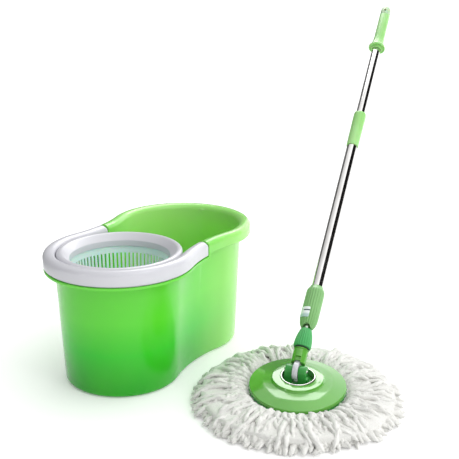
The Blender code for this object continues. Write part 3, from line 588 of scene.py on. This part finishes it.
def build_carry_handle():
    """The U-shaped handle: an upside-down channel with a crowned, rounded top and rounded ends."""
    end_y, end_length, end_drop = -0.0008, 0.0045, 0.0026
    bottom, rounding_start = 0.2086, 0.2180
    outside = [(0.0002, bottom, 0.0006), (0.0, RIM_TOP + 0.0002, 0.0095), (0.0216, RIM_TOP + 0.0002, 0.0105),
               (0.0216, bottom, 0.0006)]
    inside = [(0.0190, bottom, 0), (0.0190, 0.2303, 0.0070), (0.0026, 0.2303, 0.0065), (0.0026, bottom, 0)]
    section = fillet(outside + inside, 8)
    waist = [(end_y - end_length * t, 1 - t) for t in (0.0, 0.1, 0.3, 0.6)]
    waist += [(end_y - end_length, 0)]
    waist += [(y, 0) for y in between(end_y - end_length, FRONT_TANGENT_Y, 14)]
    front = lobe_stations(FRONT_Y, FRONT_RADIUS, math.pi - FRONT_TANGENT, FULL_TURN + FRONT_TANGENT, 72)
    path = [(waist_station(-1, y), end) for y, end in waist] + [(station, 0) for station in front]
    path += [(waist_station(1, y), end) for y, end in reversed(waist)]
    loops = []
    for station, end in path:
        drop = end_drop * end ** 2
        loop = []
        for inset, z in section:
            share = max(0.0, (z - rounding_start) / (RIM_TOP - rounding_start))
            loop.append(place(station, inset, z - drop * share))
        loops.append(loop)
    piece("handle_shell", loft_mesh(loops, False), "white_plastic", "carry_handle",
          replaced=("carry_handle",))


def build_basket_ring():
    """The fixed ring: crowned, sloping into the hole, with its flange under the handle."""
    half, step = math.radians(100), math.radians(0.4)
    flange, stub = 0.1262, 0.1086
    reaches = [(-math.pi / 2 - half + 2 * half * i / 96, flange) for i in range(97)]
    start = reaches[-1][0] + step
    span = FULL_TURN - 2 * half - 2 * step
    reaches += [(start + span * i / 76, stub) for i in range(77)]
    corners = [(flange, 0.2060, 0), (flange, 0.2082, 0), (0.1075, 0.2084, 0.0006), (0.1075, 0.2306, 0.0058),
               (0.0985, 0.2306, 0.0060), (0.0856, 0.2196, 0.0026), (0.0848, 0.2090, 0.0007),
               (0.0869, 0.2090, 0.0006), (0.0876, 0.2188, 0.0020), (0.0990, 0.2284, 0.0040),
               (0.1049, 0.2284, 0.0040), (0.1049, 0.2060, 0)]
    loops = []
    for radius, z in fillet(corners, 6):
        loops.append([polar(reach if radius == flange else radius, a, z) for a, reach in reaches])
    piece("ring_shell", loft_mesh(loops, True), "white_plastic", "bucket", LOBE, ("basket_ring",))


def build_spin_basket():
    """The slotted cup, with a solid band over its slots and a rolled lip."""
    slots, share = 76, 0.44
    top, bottom = 0.1960, 0.1240
    outer = [(0.0903, 0.2125), (0.0906, 0.2100), (0.0901, 0.2070), (0.0894, top), (0.0876, 0.1600),
             (0.0856, bottom), (0.0848, 0.1130), (0.0838, 0.1095), (0.0812, 0.1080)]
    floor = [(0.0500, 0.1080), (0.0126, 0.1080), (0.0126, 0.1106), (0.0500, 0.1106)]
    inner = [(0.0800, 0.1106), (0.0820, 0.1118), (0.0828, 0.1150), (0.0834, bottom), (0.0853, 0.1600),
             (0.0872, top), (0.0878, 0.2070), (0.0880, 0.2100), (0.0883, 0.2125), (0.0893, 0.2134)]
    profile = outer + floor + inner
    pitch = FULL_TURN / slots
    angles = []
    for i in range(slots):
        angles += [i * pitch, (i + share) * pitch, (i + (1 + share) / 2) * pitch]
    loops = [[polar(r, a, z) for a in angles] for r, z in profile]
    base = len(outer) + len(floor)
    holes = [(row, base + 7 - row, 3 * i) for i in range(slots) for row in (3, 4)]
    piece("basket_shell", slotted_mesh(loops, holes), "basket_plastic", "spin_basket", LOBE, ("spin_basket",))


def slotted_mesh(loops, cells):
    """A closed loft whose listed (outer row, inner row, station) cells are open through the wall.

    Cells one above the other make one slot, so the reveals are built only where a slot meets solid wall.
    """
    bm = bmesh.new()
    rows = [[bm.verts.new(point) for point in loop] for loop in loops]
    count, total = len(rows[0]), len(rows)
    open_outer = {(o, j) for o, _, j in cells}
    open_inner = {(n, j) for _, n, j in cells}
    for i in range(total):
        low, high = rows[i], rows[(i + 1) % total]
        for j in range(count):
            if (i, j) not in open_outer and (i, j) not in open_inner:
                k = (j + 1) % count
                bm.faces.new((low[j], low[k], high[k], high[j]))
    for o, n, j in cells:
        k = (j + 1) % count
        # outer rows run down the wall and inner rows run up it
        upper, lower = rows[o], rows[o + 1]
        inner_lower, inner_upper = rows[n], rows[n + 1]
        bm.faces.new((upper[j], lower[j], inner_lower[j], inner_upper[j]))
        bm.faces.new((upper[k], inner_upper[k], inner_lower[k], lower[k]))
        if (o - 1, j) not in open_outer:
            bm.faces.new((upper[j], inner_upper[j], inner_upper[k], upper[k]))
        if (o + 1, j) not in open_outer:
            bm.faces.new((lower[j], lower[k], inner_lower[k], inner_lower[j]))
    return bm


def build_basket_bearing():
    """Rounded versions of the hub and its cap."""
    hub = [(0.0059, 0.1260, 0), (0.0059, 0.0969, 0), (0.0114, 0.0969, 0.0006), (0.0122, 0.0990, 0),
           (0.0122, 0.1109, 0), (0.0192, 0.1109, 0), (0.0186, 0.1150, 0.0016), (0.0150, 0.1185, 0.004),
           (0.0128, 0.1290, 0)]
    turned("hub_shell", hub, "bucket_green", "spin_basket", LOBE, ("basket_hub",), segments=48, closed=False)
    cap = [(0.0050, 0.1293, 0), (0.0126, 0.1293, 0.0004), (0.0122, 0.1346, 0.0044), (0.0010, 0.1350, 0)]
    turned("hub_cap_shell", cap, "white_plastic", "spin_basket", LOBE, ("hub_cap",), segments=48,
           closed=False)


# Mop head ----------------------------------------------------------------------------------------

PLATE_RADIUS = 0.080
UNDER_PLATE = -0.0103                               # top of the strands' space, along the head's normal


def build_plate():
    """The domed cover plate with its cup, and the bright ring round the cup's mouth."""
    cup = [(0.0068, -0.0022, 0), (0.0068, 0.0, 0.0004), (0.0272, 0.0, 0.0012), (0.0272, 0.0122, 0),
           (0.0292, 0.0122, 0), (0.0296, 0.0150, 0.0006)]
    dome = [(0.0424, 0.0140, 0.0012), (0.0438, 0.0112, 0.0008), (0.0444, 0.0092, 0.0008),
            (0.0600, 0.0064, 0.06), (0.0776, 0.0010, 0.0030), (0.0801, 0.0004, 0.0016),
            (0.0803, -0.0051, 0.0006)]
    underside = [(0.0778, -0.0051, 0), (0.0735, -0.0010, 0), (0.0560, 0.0042, 0), (0.0298, 0.0070, 0),
                 (0.0298, -0.0022, 0)]
    turned("cover_shell", cup + dome + underside, "plate_green", "mop_head", HEAD, ("mop_cover",),
           segments=144)
    ring = [(0.0262, 0.0062, 0), (0.0269, 0.0062, 0), (0.0269, 0.0125, 0), (0.0290, 0.0125, 0),
            (0.0290, 0.0163, 0.0013), (0.0262, 0.0163, 0.0013)]
    turned("ring_bright", ring, "polished_steel", "mop_head", HEAD, ("steel_ring",), segments=96, steps=8)


def build_carrier():
    """The strand carrier: a ring with a rounded knob over each bunch of strands."""
    knobs, samples, knob_depth = 48, 8, 0.0030
    count = knobs * samples
    rows = [(0.0350, -0.0095, 0), (0.0760, -0.0098, 0.3), (0.0778, -0.0088, 0.8), (0.0784, -0.0074, 1.0),
            (0.0782, -0.0060, 0.7), (0.0768, -0.0054, 0.2), (0.0350, -0.0054, 0)]
    loops = []
    for r, z, share in rows:
        loop = []
        for i in range(count):
            a = FULL_TURN * i / count
            wave = abs(math.cos(a * knobs / 2)) ** 0.7
            loop.append(polar(r + knob_depth * share * wave, a, z))
        loops.append(loop)
    piece("carrier_shell", loft_mesh(loops, True), "yoke_green", "mop_head", HEAD, ("strand_carrier",))


def under_plate(x, y):
    """Height of the plate's underside over a point, measured from the head's middle."""
    low = HEAD @ Vector((0, 0, UNDER_PLATE))
    return low.z - (HEAD_NORMAL.x * x + HEAD_NORMAL.y * y) / HEAD_NORMAL.z


def add_tube(bm, path, radii, sides, seed, lump):
    """Adds a lumpy closed tube along a path to a bmesh."""
    rings = []
    previous = None
    for i, point in enumerate(path):
        ahead = path[min(i + 1, len(path) - 1)] - path[max(i - 1, 0)]
        ahead.normalize()
        if previous is None:
            side = ahead.cross(Vector((0, 0, 1))).normalized()
        else:
            side = (previous - ahead * previous.dot(ahead)).normalized()
        previous = side
        up = side.cross(ahead)
        ring = []
        for k in range(sides):
            a = FULL_TURN * k / sides
            direction = side * math.cos(a) + up * math.sin(a)
            spot = point + direction * radii[i]
            swell = noise.noise(spot * 330 + Vector((seed, seed * 0.7, 0)))
            fine = noise.noise(spot * 900 + Vector((0, seed, seed)))
            reach = radii[i] * (1 + lump * swell + 0.5 * lump * fine)
            vertex = point + direction * reach
            vertex.z = max(vertex.z, 0.0004)
            ring.append(bm.verts.new(vertex))
        rings.append(ring)
    for low, high in zip(rings, rings[1:]):
        for k in range(sides):
            n = (k + 1) % sides
            bm.faces.new((low[k], low[n], high[n], high[k]))
    bm.faces.new(list(reversed(rings[0])))
    bm.faces.new(rings[-1])


PLATE_HIGH_SIDE = math.atan2(-HEAD_NORMAL.y, -HEAD_NORMAL.x)
FRINGE_TOP = ((PLATE_RADIUS, 0.026), (0.098, 0.029), (0.135, 0.027), (0.160, 0.023), (0.172, 0.018),
              (0.182, 0.010))                       # radius and height of the fringe's upper surface


def fringe_top(r, angle):
    """Height of the fringe's upper surface, which is highest where the tilted plate is."""
    lift = 0.014 * max(0.0, math.cos(angle - PLATE_HIGH_SIDE)) ** 0.8 * min(1.0, (r - PLATE_RADIUS) / 0.03)
    for (r0, z0), (r1, z1) in zip(FRINGE_TOP, FRINGE_TOP[1:]):
        if r <= r1:
            return z0 + (z1 - z0) * max(0.0, (r - r0) / (r1 - r0)) + max(0.0, lift)
    return FRINGE_TOP[-1][1] + lift


def strand_path(angle, share, reach, rng):
    """One strand's path: out from under the plate, up into its layer and down to its tip.

    share is the layer's place in the fringe, from 0 on the floor to 1 at the top.
    """
    radius = rng.uniform(0.0032, 0.0050)
    drift, curl = rng.uniform(-0.22, 0.22), rng.uniform(-0.08, 0.08)
    phase, wave = rng.uniform(0, FULL_TURN), rng.uniform(0.001, 0.0040)
    root, steps = 0.058, 20
    path, radii = [], []
    for i in range(steps + 1):
        t = i / steps
        r = root + (reach - root) * t
        a = angle + drift * t * t + curl * math.sin(t * math.pi)
        sway = wave * math.sin(phase + 8 * t) * t
        x = r * math.cos(a) - sway * math.sin(a)
        y = r * math.sin(a) + sway * math.cos(a)
        near = min(r, PLATE_RADIUS)
        root_top = under_plate(near * math.cos(a), near * math.sin(a)) - 0.0004
        rise = min(1.0, max(0.0, (r - PLATE_RADIUS) / 0.014))
        top = root_top + (fringe_top(r, a) - root_top) * rise * rise * (3 - 2 * rise)
        droop = max(0.0, (t - 0.80) / 0.20)
        z = radius * 0.9 + max(0.0, top - 1.9 * radius) * share * (1 - 0.55 * droop ** 2)
        z += 0.0014 * math.sin(phase * 2 + 12 * t) * rise
        path.append(Vector((HEAD_CENTRE.x + x, HEAD_CENTRE.y + y, max(z, radius * 0.85))))
        end = max(0.0, (t - 0.90) / 0.10)
        radii.append(radius * math.sqrt(max(0.10, 1 - end ** 2)))
    return path, radii


def build_strands():
    """The fringe, in layers of yarn from the floor up. A layer is (place, count, shortest, longest)."""
    rng = random.Random(11)
    low_layers = ((0.00, 170, 0.156, 0.1795), (0.26, 180, 0.156, 0.1795))
    top_layers = ((0.52, 180, 0.146, 0.179), (0.78, 180, 0.132, 0.178), (1.00, 170, 0.112, 0.177))
    seed = 0
    parts = (("fringe_low", low_layers, ("mop_strands",)), ("fringe_top", top_layers, ()))
    for name, layers, replaced in parts:
        bm = bmesh.new()
        for share, count, shortest, longest in layers:
            for i in range(count):
                angle = FULL_TURN * (i + rng.uniform(-0.45, 0.45)) / count
                height, reach = share + rng.uniform(-0.10, 0.06), rng.uniform(shortest, longest)
                path, radii = strand_path(angle, height, reach, rng)
                seed += 1
                add_tube(bm, path, radii, 7, seed * 1.37, 0.80)
        piece(name, bm, "microfibre", "mop_head", replaced=replaced, sharp=math.pi)


def build_fringe_bed():
    """The lumpy bed that closes the gaps between the strands."""
    underside, sides = 0.0060, 180
    rows = []
    for r in (0.020, 0.060, 0.078, 0.095, 0.115, 0.135, 0.150, 0.160):
        loop = []
        for i in range(sides):
            a = FULL_TURN * i / sides
            x, y = r * math.cos(a), r * math.sin(a)
            near = min(r, PLATE_RADIUS)
            if r < 0.090:
                z = 0.60 * under_plate(near * math.cos(a), near * math.sin(a))
            else:
                z = 0.80 * fringe_top(r, a)
            z += 0.0030 * noise.noise(Vector((x, y, 0)) * 160)
            loop.append(Vector((HEAD_CENTRE.x + x, HEAD_CENTRE.y + y, max(z, 0.0015))))
        rows.append(loop)
    bottom = [[Vector((p.x, p.y, underside)) for p in loop] for loop in (rows[-1], rows[0])]
    piece("fringe_bed", loft_mesh(rows + bottom, True), "microfibre", "mop_head", sharp=math.pi)


# Yoke and pole -----------------------------------------------------------------------------------

# Heights along the pole are measured from the tilt pin
YOKE_SLOT_HALF = 0.0047
NECK_SHOULDER = 0.0382
NUT_FOOT, NUT_TOP = 0.0411, 0.0755
SLEEVE_FOOT, SLEEVE_TOP = 0.0776, 0.1570
LABEL_FOOT, LABEL_TOP = 0.0925, 0.1115
COLLAR_FOOT, COLLAR_TOP = 0.4620, 0.5410
GRIP_FOOT, GRIP_TOP = 0.7060, 0.7995


def round_lug(radius, half_width, foot, arc_points):
    """Outline of a lug: an arc about the pin, and straight flanks to its foot, below or above the pin."""
    sign = 1 if foot < 0 else -1
    open_angle = math.asin(min(half_width / radius, 1.0))
    start = -math.pi / 2 + open_angle
    end = 1.5 * math.pi - open_angle
    arc = [start + (end - start) * i / (arc_points - 1) for i in range(arc_points)]
    outline = [(radius * math.cos(a), sign * radius * math.sin(a)) for a in arc]
    return outline + [(-half_width, foot), (half_width, foot)]


def bevelled_plate(outline, low, high, edge, squeeze):
    """Loops across X for a flat lug whose outer edges are rounded by edge."""
    loops = []
    for x, inset in ((low, edge), (low + edge * 0.3, edge * 0.3), (low + edge, 0), (high - edge, 0),
                     (high - edge * 0.3, edge * 0.3), (high, edge)):
        loops.append([Vector((x, y * (1 - inset / squeeze), z * (1 - inset / squeeze))) for y, z in outline])
    return loops


def build_yoke():
    """The disc in the cup, two round-topped ears with a foot on each side, and the tilt pin."""
    disc = [(0.0023, 0.0036, 0), (0.0023, -0.0050, 0), (0.0062, -0.0050, 0), (0.0062, 0.0006, 0),
            (0.0262, 0.0006, 0.0006), (0.0262, 0.0056, 0.0012), (0.0170, 0.0056, 0)]
    turned("yoke_disc", disc, "yoke_green", "yoke", HEAD, ("swivel_yoke",), segments=72, closed=False)
    ear, slot, outer = 0.0095, YOKE_SLOT_HALF, 0.0176
    foot = 0.0052 - PIVOT_HEIGHT
    outline = round_lug(ear, ear, foot, 25)
    for side, label in ((1, "right"), (-1, "left")):
        low, high = sorted((side * slot, side * outer))
        piece(f"yoke_ear_{label}", loft_mesh(bevelled_plate(outline, low, high, 0.0012, ear), False),
              "yoke_green", "yoke", PIVOT)
        loops = []
        bevel = 0.0008
        sections = ((outer - 0.0004, 0.0046, -0.0105), (0.0196, 0.0044, -0.0118), (0.0214, 0.0038, -0.0165))
        for x, half, top in sections:
            loops.append([Vector((side * x, y, z)) for y, z in
                          ((-half, foot), (half, foot), (half, top - bevel), (half - bevel, top),
                           (bevel - half, top), (-half, top - bevel))])
        piece(f"yoke_foot_{label}", loft_mesh(loops, False), "yoke_green", "yoke", PIVOT)
    crosswise = PIVOT @ Matrix.Rotation(math.pi / 2, 4, "Y")
    pin = [(0.0010, -0.0197, 0), (0.0044, -0.0197, 0.0010), (0.0044, -0.0179, 0), (0.0028, -0.0179, 0),
           (0.0028, 0.0189, 0.0006), (0.0008, 0.0189, 0)]
    turned("pin_bright", pin, "polished_steel", "yoke", crosswise, ("tilt_pin",), segments=32, closed=False)


def build_neck():
    """Tongue, slotted neck with a window over the tongue, seal, ribbed nut and ferrule."""
    tongue = bevelled_plate(round_lug(0.0150, 0.0055, 0.0280, 49), -0.0042, 0.0042, 0.0014, 0.0150)
    piece("tongue_shell", loft_mesh(tongue, False), "white_plastic", "neck", POLE, ("tilt_tongue",))
    build_slotted_neck()
    seal = [(0.0087, 0.0385, 0), (0.0129, 0.0385, 0.0008), (0.0129, 0.0408, 0.0008), (0.0087, 0.0408, 0)]
    turned("seal_shell", seal, "seal_rubber", "neck", POLE, ("neck_seal",))
    nut = [(0.0088, NUT_FOOT, 0), (0.0130, NUT_FOOT, 0), (0.0141, 0.0415, 0.1), (0.0148, 0.0428, 0.6),
           (0.0150, 0.0450, 1), (0.0150, 0.0490, 1), (0.0146, 0.0540, 1), (0.0137, 0.0595, 1),
           (0.0126, 0.0645, 1), (0.0114, 0.0690, 0.8), (0.0104, 0.0722, 0.3), (0.0097, 0.0744, 0),
           (0.0091, NUT_TOP, 0), (0.0065, NUT_TOP, 0), (0.0065, 0.0660, 0), (0.0088, 0.0660, 0)]
    ribbed("nut_shell", nut, 22, 0.0011, "nut_green", "neck", POLE, ("pole_nut",), samples=10, sharpness=0.6)
    ferrule = [(0.0020, 0.0605, 0), (0.0083, 0.0605, 0.0004), (0.0083, 0.0631, 0.0004), (0.0060, 0.0631, 0),
               (0.0060, 0.0800, 0.0006), (0.0050, 0.0860, 0.0008), (0.0010, 0.0860, 0)]
    turned("ferrule_bright", ferrule, "polished_steel", "neck", POLE, ("spindle_ferrule",), segments=48,
           closed=False)


def build_slotted_neck():
    """The neck's round body, cut by the slot that clears the ears and by the window over the tongue."""
    body = [(0.0060, 0.0125, 0), (0.0120, 0.0125, 0.0008), (0.0124, 0.0300, 0), (0.0124, 0.0346, 0.0004),
            (0.0113, 0.0352, 0.0003), (0.0113, 0.0362, 0.0003), (0.0125, 0.0366, 0.0004),
            (0.0125, NECK_SHOULDER, 0.0005), (0.0083, NECK_SHOULDER, 0), (0.0083, 0.0600, 0)]
    neck = turned("neck_shell", body, "plate_green", "neck", POLE, ("pole_neck",), segments=72, closed=False)
    slot, web, outside = YOKE_SLOT_HALF, 0.0085, 0.0200
    for low, high in (((-slot, -outside, 0.0050), (slot, outside, 0.0156)),
                      ((-slot, -outside, 0.0060), (slot, -web, 0.0222)),
                      ((-slot, web, 0.0060), (slot, outside, 0.0222)),
                      ((-slot, -0.0061, 0.0100), (slot, 0.0061, 0.0287))):
        carve(neck, low, high, POLE)


def build_lower_pole():
    """Ribbed sleeve with an arch front and back in its lower edge, and the lower tube."""
    outside = [(0.0069, SLEEVE_FOOT, 0), (0.0094, SLEEVE_FOOT, 0), (0.0101, 0.0781, 0), (0.0112, 0.0795, 0.5),
               (0.0128, 0.0825, 1), (0.0142, 0.0865, 1), (0.0151, 0.0915, 1), (0.0156, 0.0985, 1),
               (0.0157, 0.1100, 1), (0.0157, 0.1400, 1), (0.0156, 0.1445, 1), (0.0153, 0.1475, 0.8),
               (0.0146, 0.1497, 0.3), (0.0132, 0.1520, 0), (0.0116, 0.1550, 0), (0.0110, SLEEVE_TOP, 0)]
    bore = [(0.0098, SLEEVE_TOP, 0), (0.0098, 0.0994, 0), (0.0092, 0.0994, 0), (0.0092, 0.0909, 0),
            (0.0069, 0.0909, 0)]
    sleeve = ribbed("sleeve_shell", outside + bore, 20, 0.0011, "sleeve_green", "lower_pole", POLE,
                    ("drive_sleeve",), samples=10, sharpness=0.5)
    cut_round(sleeve, 0.0068, 0.0768)
    tube = [(0.0086, 0.0998, 0), (0.0095, 0.0998, 0), (0.0095, 0.4750, 0.0004), (0.0086, 0.4750, 0.0004)]
    turned("tube_lower", tube, "tube_steel", "lower_pole", POLE, ("lower_tube",), segments=96)


def build_label():
    """A blank sticker with rounded corners, wrapped on the sleeve and following its taper."""
    middle, half = math.radians(-130), math.radians(45)
    corner, thickness, steps = 0.0022, 0.00015, 40
    loops = []
    for i in range(steps + 1):
        a = middle - half + 2 * half * i / steps
        edge = min(i, steps - i) / steps * 2 * half * 0.016
        rise = 0.0 if edge >= corner else corner - math.sqrt(corner ** 2 - (corner - edge) ** 2)
        back = [(0.0155, LABEL_FOOT + rise), (0.0160, 0.0985), (0.0161, LABEL_TOP - rise)]
        front = [(radius + thickness, z) for radius, z in reversed(back)]
        loops.append([polar(radius, a, z) for radius, z in back + front])
    piece("label_shell", loft_mesh(loops, False), "blank_label", "lower_pole", POLE, ("sleeve_label",))


def build_upper_pole():
    """Twist-lock collar, upper tube, flanged grip, and the cap with its hanging hole."""
    collar = [(0.0098, COLLAR_FOOT, 0), (0.0107, COLLAR_FOOT, 0.0006), (0.0111, 0.4655, 0.003),
              (0.0116, 0.5300, 0.02), (0.0115, 0.5365, 0.003), (0.0108, COLLAR_TOP, 0.0012),
              (0.0087, COLLAR_TOP, 0.0004), (0.0087, 0.5000, 0), (0.0103, 0.5000, 0), (0.0103, 0.4754, 0),
              (0.0098, 0.4754, 0)]
    turned("collar_shell", collar, "light_green", "collar", POLE, ("lock_collar",), segments=72)
    tube = [(0.0074, 0.1610, 0), (0.0083, 0.1610, 0), (0.0083, 0.7970, 0.0003), (0.0074, 0.7970, 0)]
    turned("tube_upper", tube, "tube_steel", "upper_pole", POLE, ("upper_tube",), segments=96)
    flange = [(0.0109, GRIP_FOOT, 0.0006), (0.0110, 0.7132, 0.0012), (0.0150, 0.7098, 0.0008),
              (0.0163, 0.7101, 0.0005), (0.0163, 0.7128, 0.0010), (0.0126, 0.7192, 0.004)]
    grip = [(0.0106, 0.7290, 0.008), (0.0100, 0.7380, 0.01), (0.0100, GRIP_TOP, 0.0005),
            (0.0086, GRIP_TOP, 0)]
    turned("grip_shell", [(0.0086, GRIP_FOOT, 0.0003)] + flange + grip, "light_green", "upper_pole", POLE,
           ("grip",), segments=96)
    ends = [(0.0010, 0.7998, 0), (0.0099, 0.7998, 0.0004), (0.0098, 0.8110, 0.01), (0.0092, 0.8196, 0.0045),
            (0.0010, 0.8202, 0)]
    cap = turned("cap_shell", ends, "cap_plastic", "upper_pole", POLE, ("grip_cap",), closed=False)
    cut_round(cap, 0.0023, 0.8080)


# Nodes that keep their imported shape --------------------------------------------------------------

def finish_kept_nodes():
    """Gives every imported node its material, also those that a finer piece stands for."""
    for entry in frame["record"]["subparts"]:
        obj = frame["nodes"][entry["node"]]
        obj.data.materials.clear()
        obj.data.materials.append(MATERIALS[entry["material_slot"]])


# Studio ------------------------------------------------------------------------------------------

def area_light(name, location, target, size, power):
    """A soft box that faces a target."""
    data = bpy.data.lights.new(name, "AREA")
    data.shape = "RECTANGLE"
    data.size, data.size_y = size
    data.energy = power
    light = bpy.data.objects.new(name, data)
    light.location = location
    light.rotation_euler = (Vector(target) - Vector(location)).to_track_quat("-Z", "Y").to_euler()
    bpy.context.scene.collection.objects.link(light)
    return light


def reflection_card(name, centre, along, width_axis, size, grey):
    """A dark card that only polished surfaces see, well outside the picture."""
    u, v = Vector(along).normalized() * size[0] / 2, Vector(width_axis).normalized() * size[1] / 2
    c = Vector(centre)
    mesh = bpy.data.meshes.new(name)
    mesh.from_pydata([c - u - v, c + u - v, c + u + v, c - u + v], [], [(0, 1, 2, 3)])
    card = bpy.data.objects.new(name, mesh)
    bpy.context.scene.collection.objects.link(card)
    matt = Nodes(name, 0.9, Specular_IOR_Level=0.0, Base_Color=(grey, grey, grey, 1))
    mesh.materials.append(matt.material)
    card.visible_camera = False
    card.visible_diffuse = False
    card.visible_shadow = False


def build_floor():
    """A wide sheet of pale paper."""
    reach = 30
    mesh = bpy.data.meshes.new("floor")
    mesh.from_pydata([(-reach, -reach, 0), (reach, -reach, 0), (reach, reach, 0), (-reach, reach, 0)], [],
                     [(0, 1, 2, 3)])
    floor = bpy.data.objects.new("floor", mesh)
    bpy.context.scene.collection.objects.link(floor)
    paper = Nodes("floor_paper", 0.9, Specular_IOR_Level=0.1, Base_Color=(0.93, 0.93, 0.93, 1),
                  Emission_Color=(1, 1, 1, 1), Emission_Strength=0.14)
    mesh.materials.append(paper.material)


def build_surround():
    """A white surround that is brightest behind the set and on the right."""
    world = bpy.data.worlds.new("surround")
    world.use_nodes = True
    bpy.context.scene.world = world
    tree = world.node_tree
    tree.nodes["Background"].inputs["Color"].default_value = (1, 1, 1, 1)
    direction = tree.nodes.new("ShaderNodeTexCoord").outputs["Generated"]
    toward = tree.nodes.new("ShaderNodeVectorMath")
    toward.operation = "DOT_PRODUCT"
    toward.inputs[1].default_value = (0.60, 0.72, 0.35)
    tree.links.new(direction, toward.inputs[0])
    spread = tree.nodes.new("ShaderNodeMapRange")
    for socket, value in zip(RANGE_SOCKETS, (-0.65, 0.8, 0.25, 1.80)):
        spread.inputs[socket].default_value = value
    tree.links.new(toward.outputs["Value"], spread.inputs["Value"])
    tree.links.new(spread.outputs["Result"], tree.nodes["Background"].inputs["Strength"])


def build_lights():
    """A soft box from the right, two that only show as gloss, and two dark cards beside the pole."""
    area_light("side", (1.9, -0.5, 1.1), (0.1, 0, 0.1), (0.5, 1.6), 5)
    gloss = area_light("gloss", (-0.17, 1.08, 1.50), (0.317, -0.055, 0.03), (1.0, 1.1), 16)
    front = area_light("front", (-0.55, -1.9, 0.65), (0.0, -0.1, 0.12), (0.10, 1.2), 3)
    gloss.visible_diffuse = front.visible_diffuse = False
    middle = POLE @ Vector((0, 0, 0.40))
    axis = POLE.to_3x3() @ Vector((0, 0, 1))
    for name, direction, width, grey in (("card_right", (0.829, 0.386, 0.374), 1.95, 0.01),
                                         ("card_left", (-0.884, 0.461, 0.070), 1.9, 0.12)):
        away = Vector(direction)
        reflection_card(name, middle + away * 1.1, axis, away.cross(axis), (2.6, width), grey)


def build():
    """Builds the set from the bucket to the top of the pole, and then its studio."""
    add_camera()
    finish_kept_nodes()
    build_tub()
    build_carry_handle()
    build_basket_ring()
    build_spin_basket()
    build_basket_bearing()
    build_plate()
    build_carrier()
    build_strands()
    build_fringe_bed()
    build_yoke()
    build_neck()
    build_lower_pole()
    build_label()
    build_upper_pole()
    build_floor()
    build_surround()
    build_lights()
    bpy.context.scene.view_settings.view_transform = "Standard"


build()
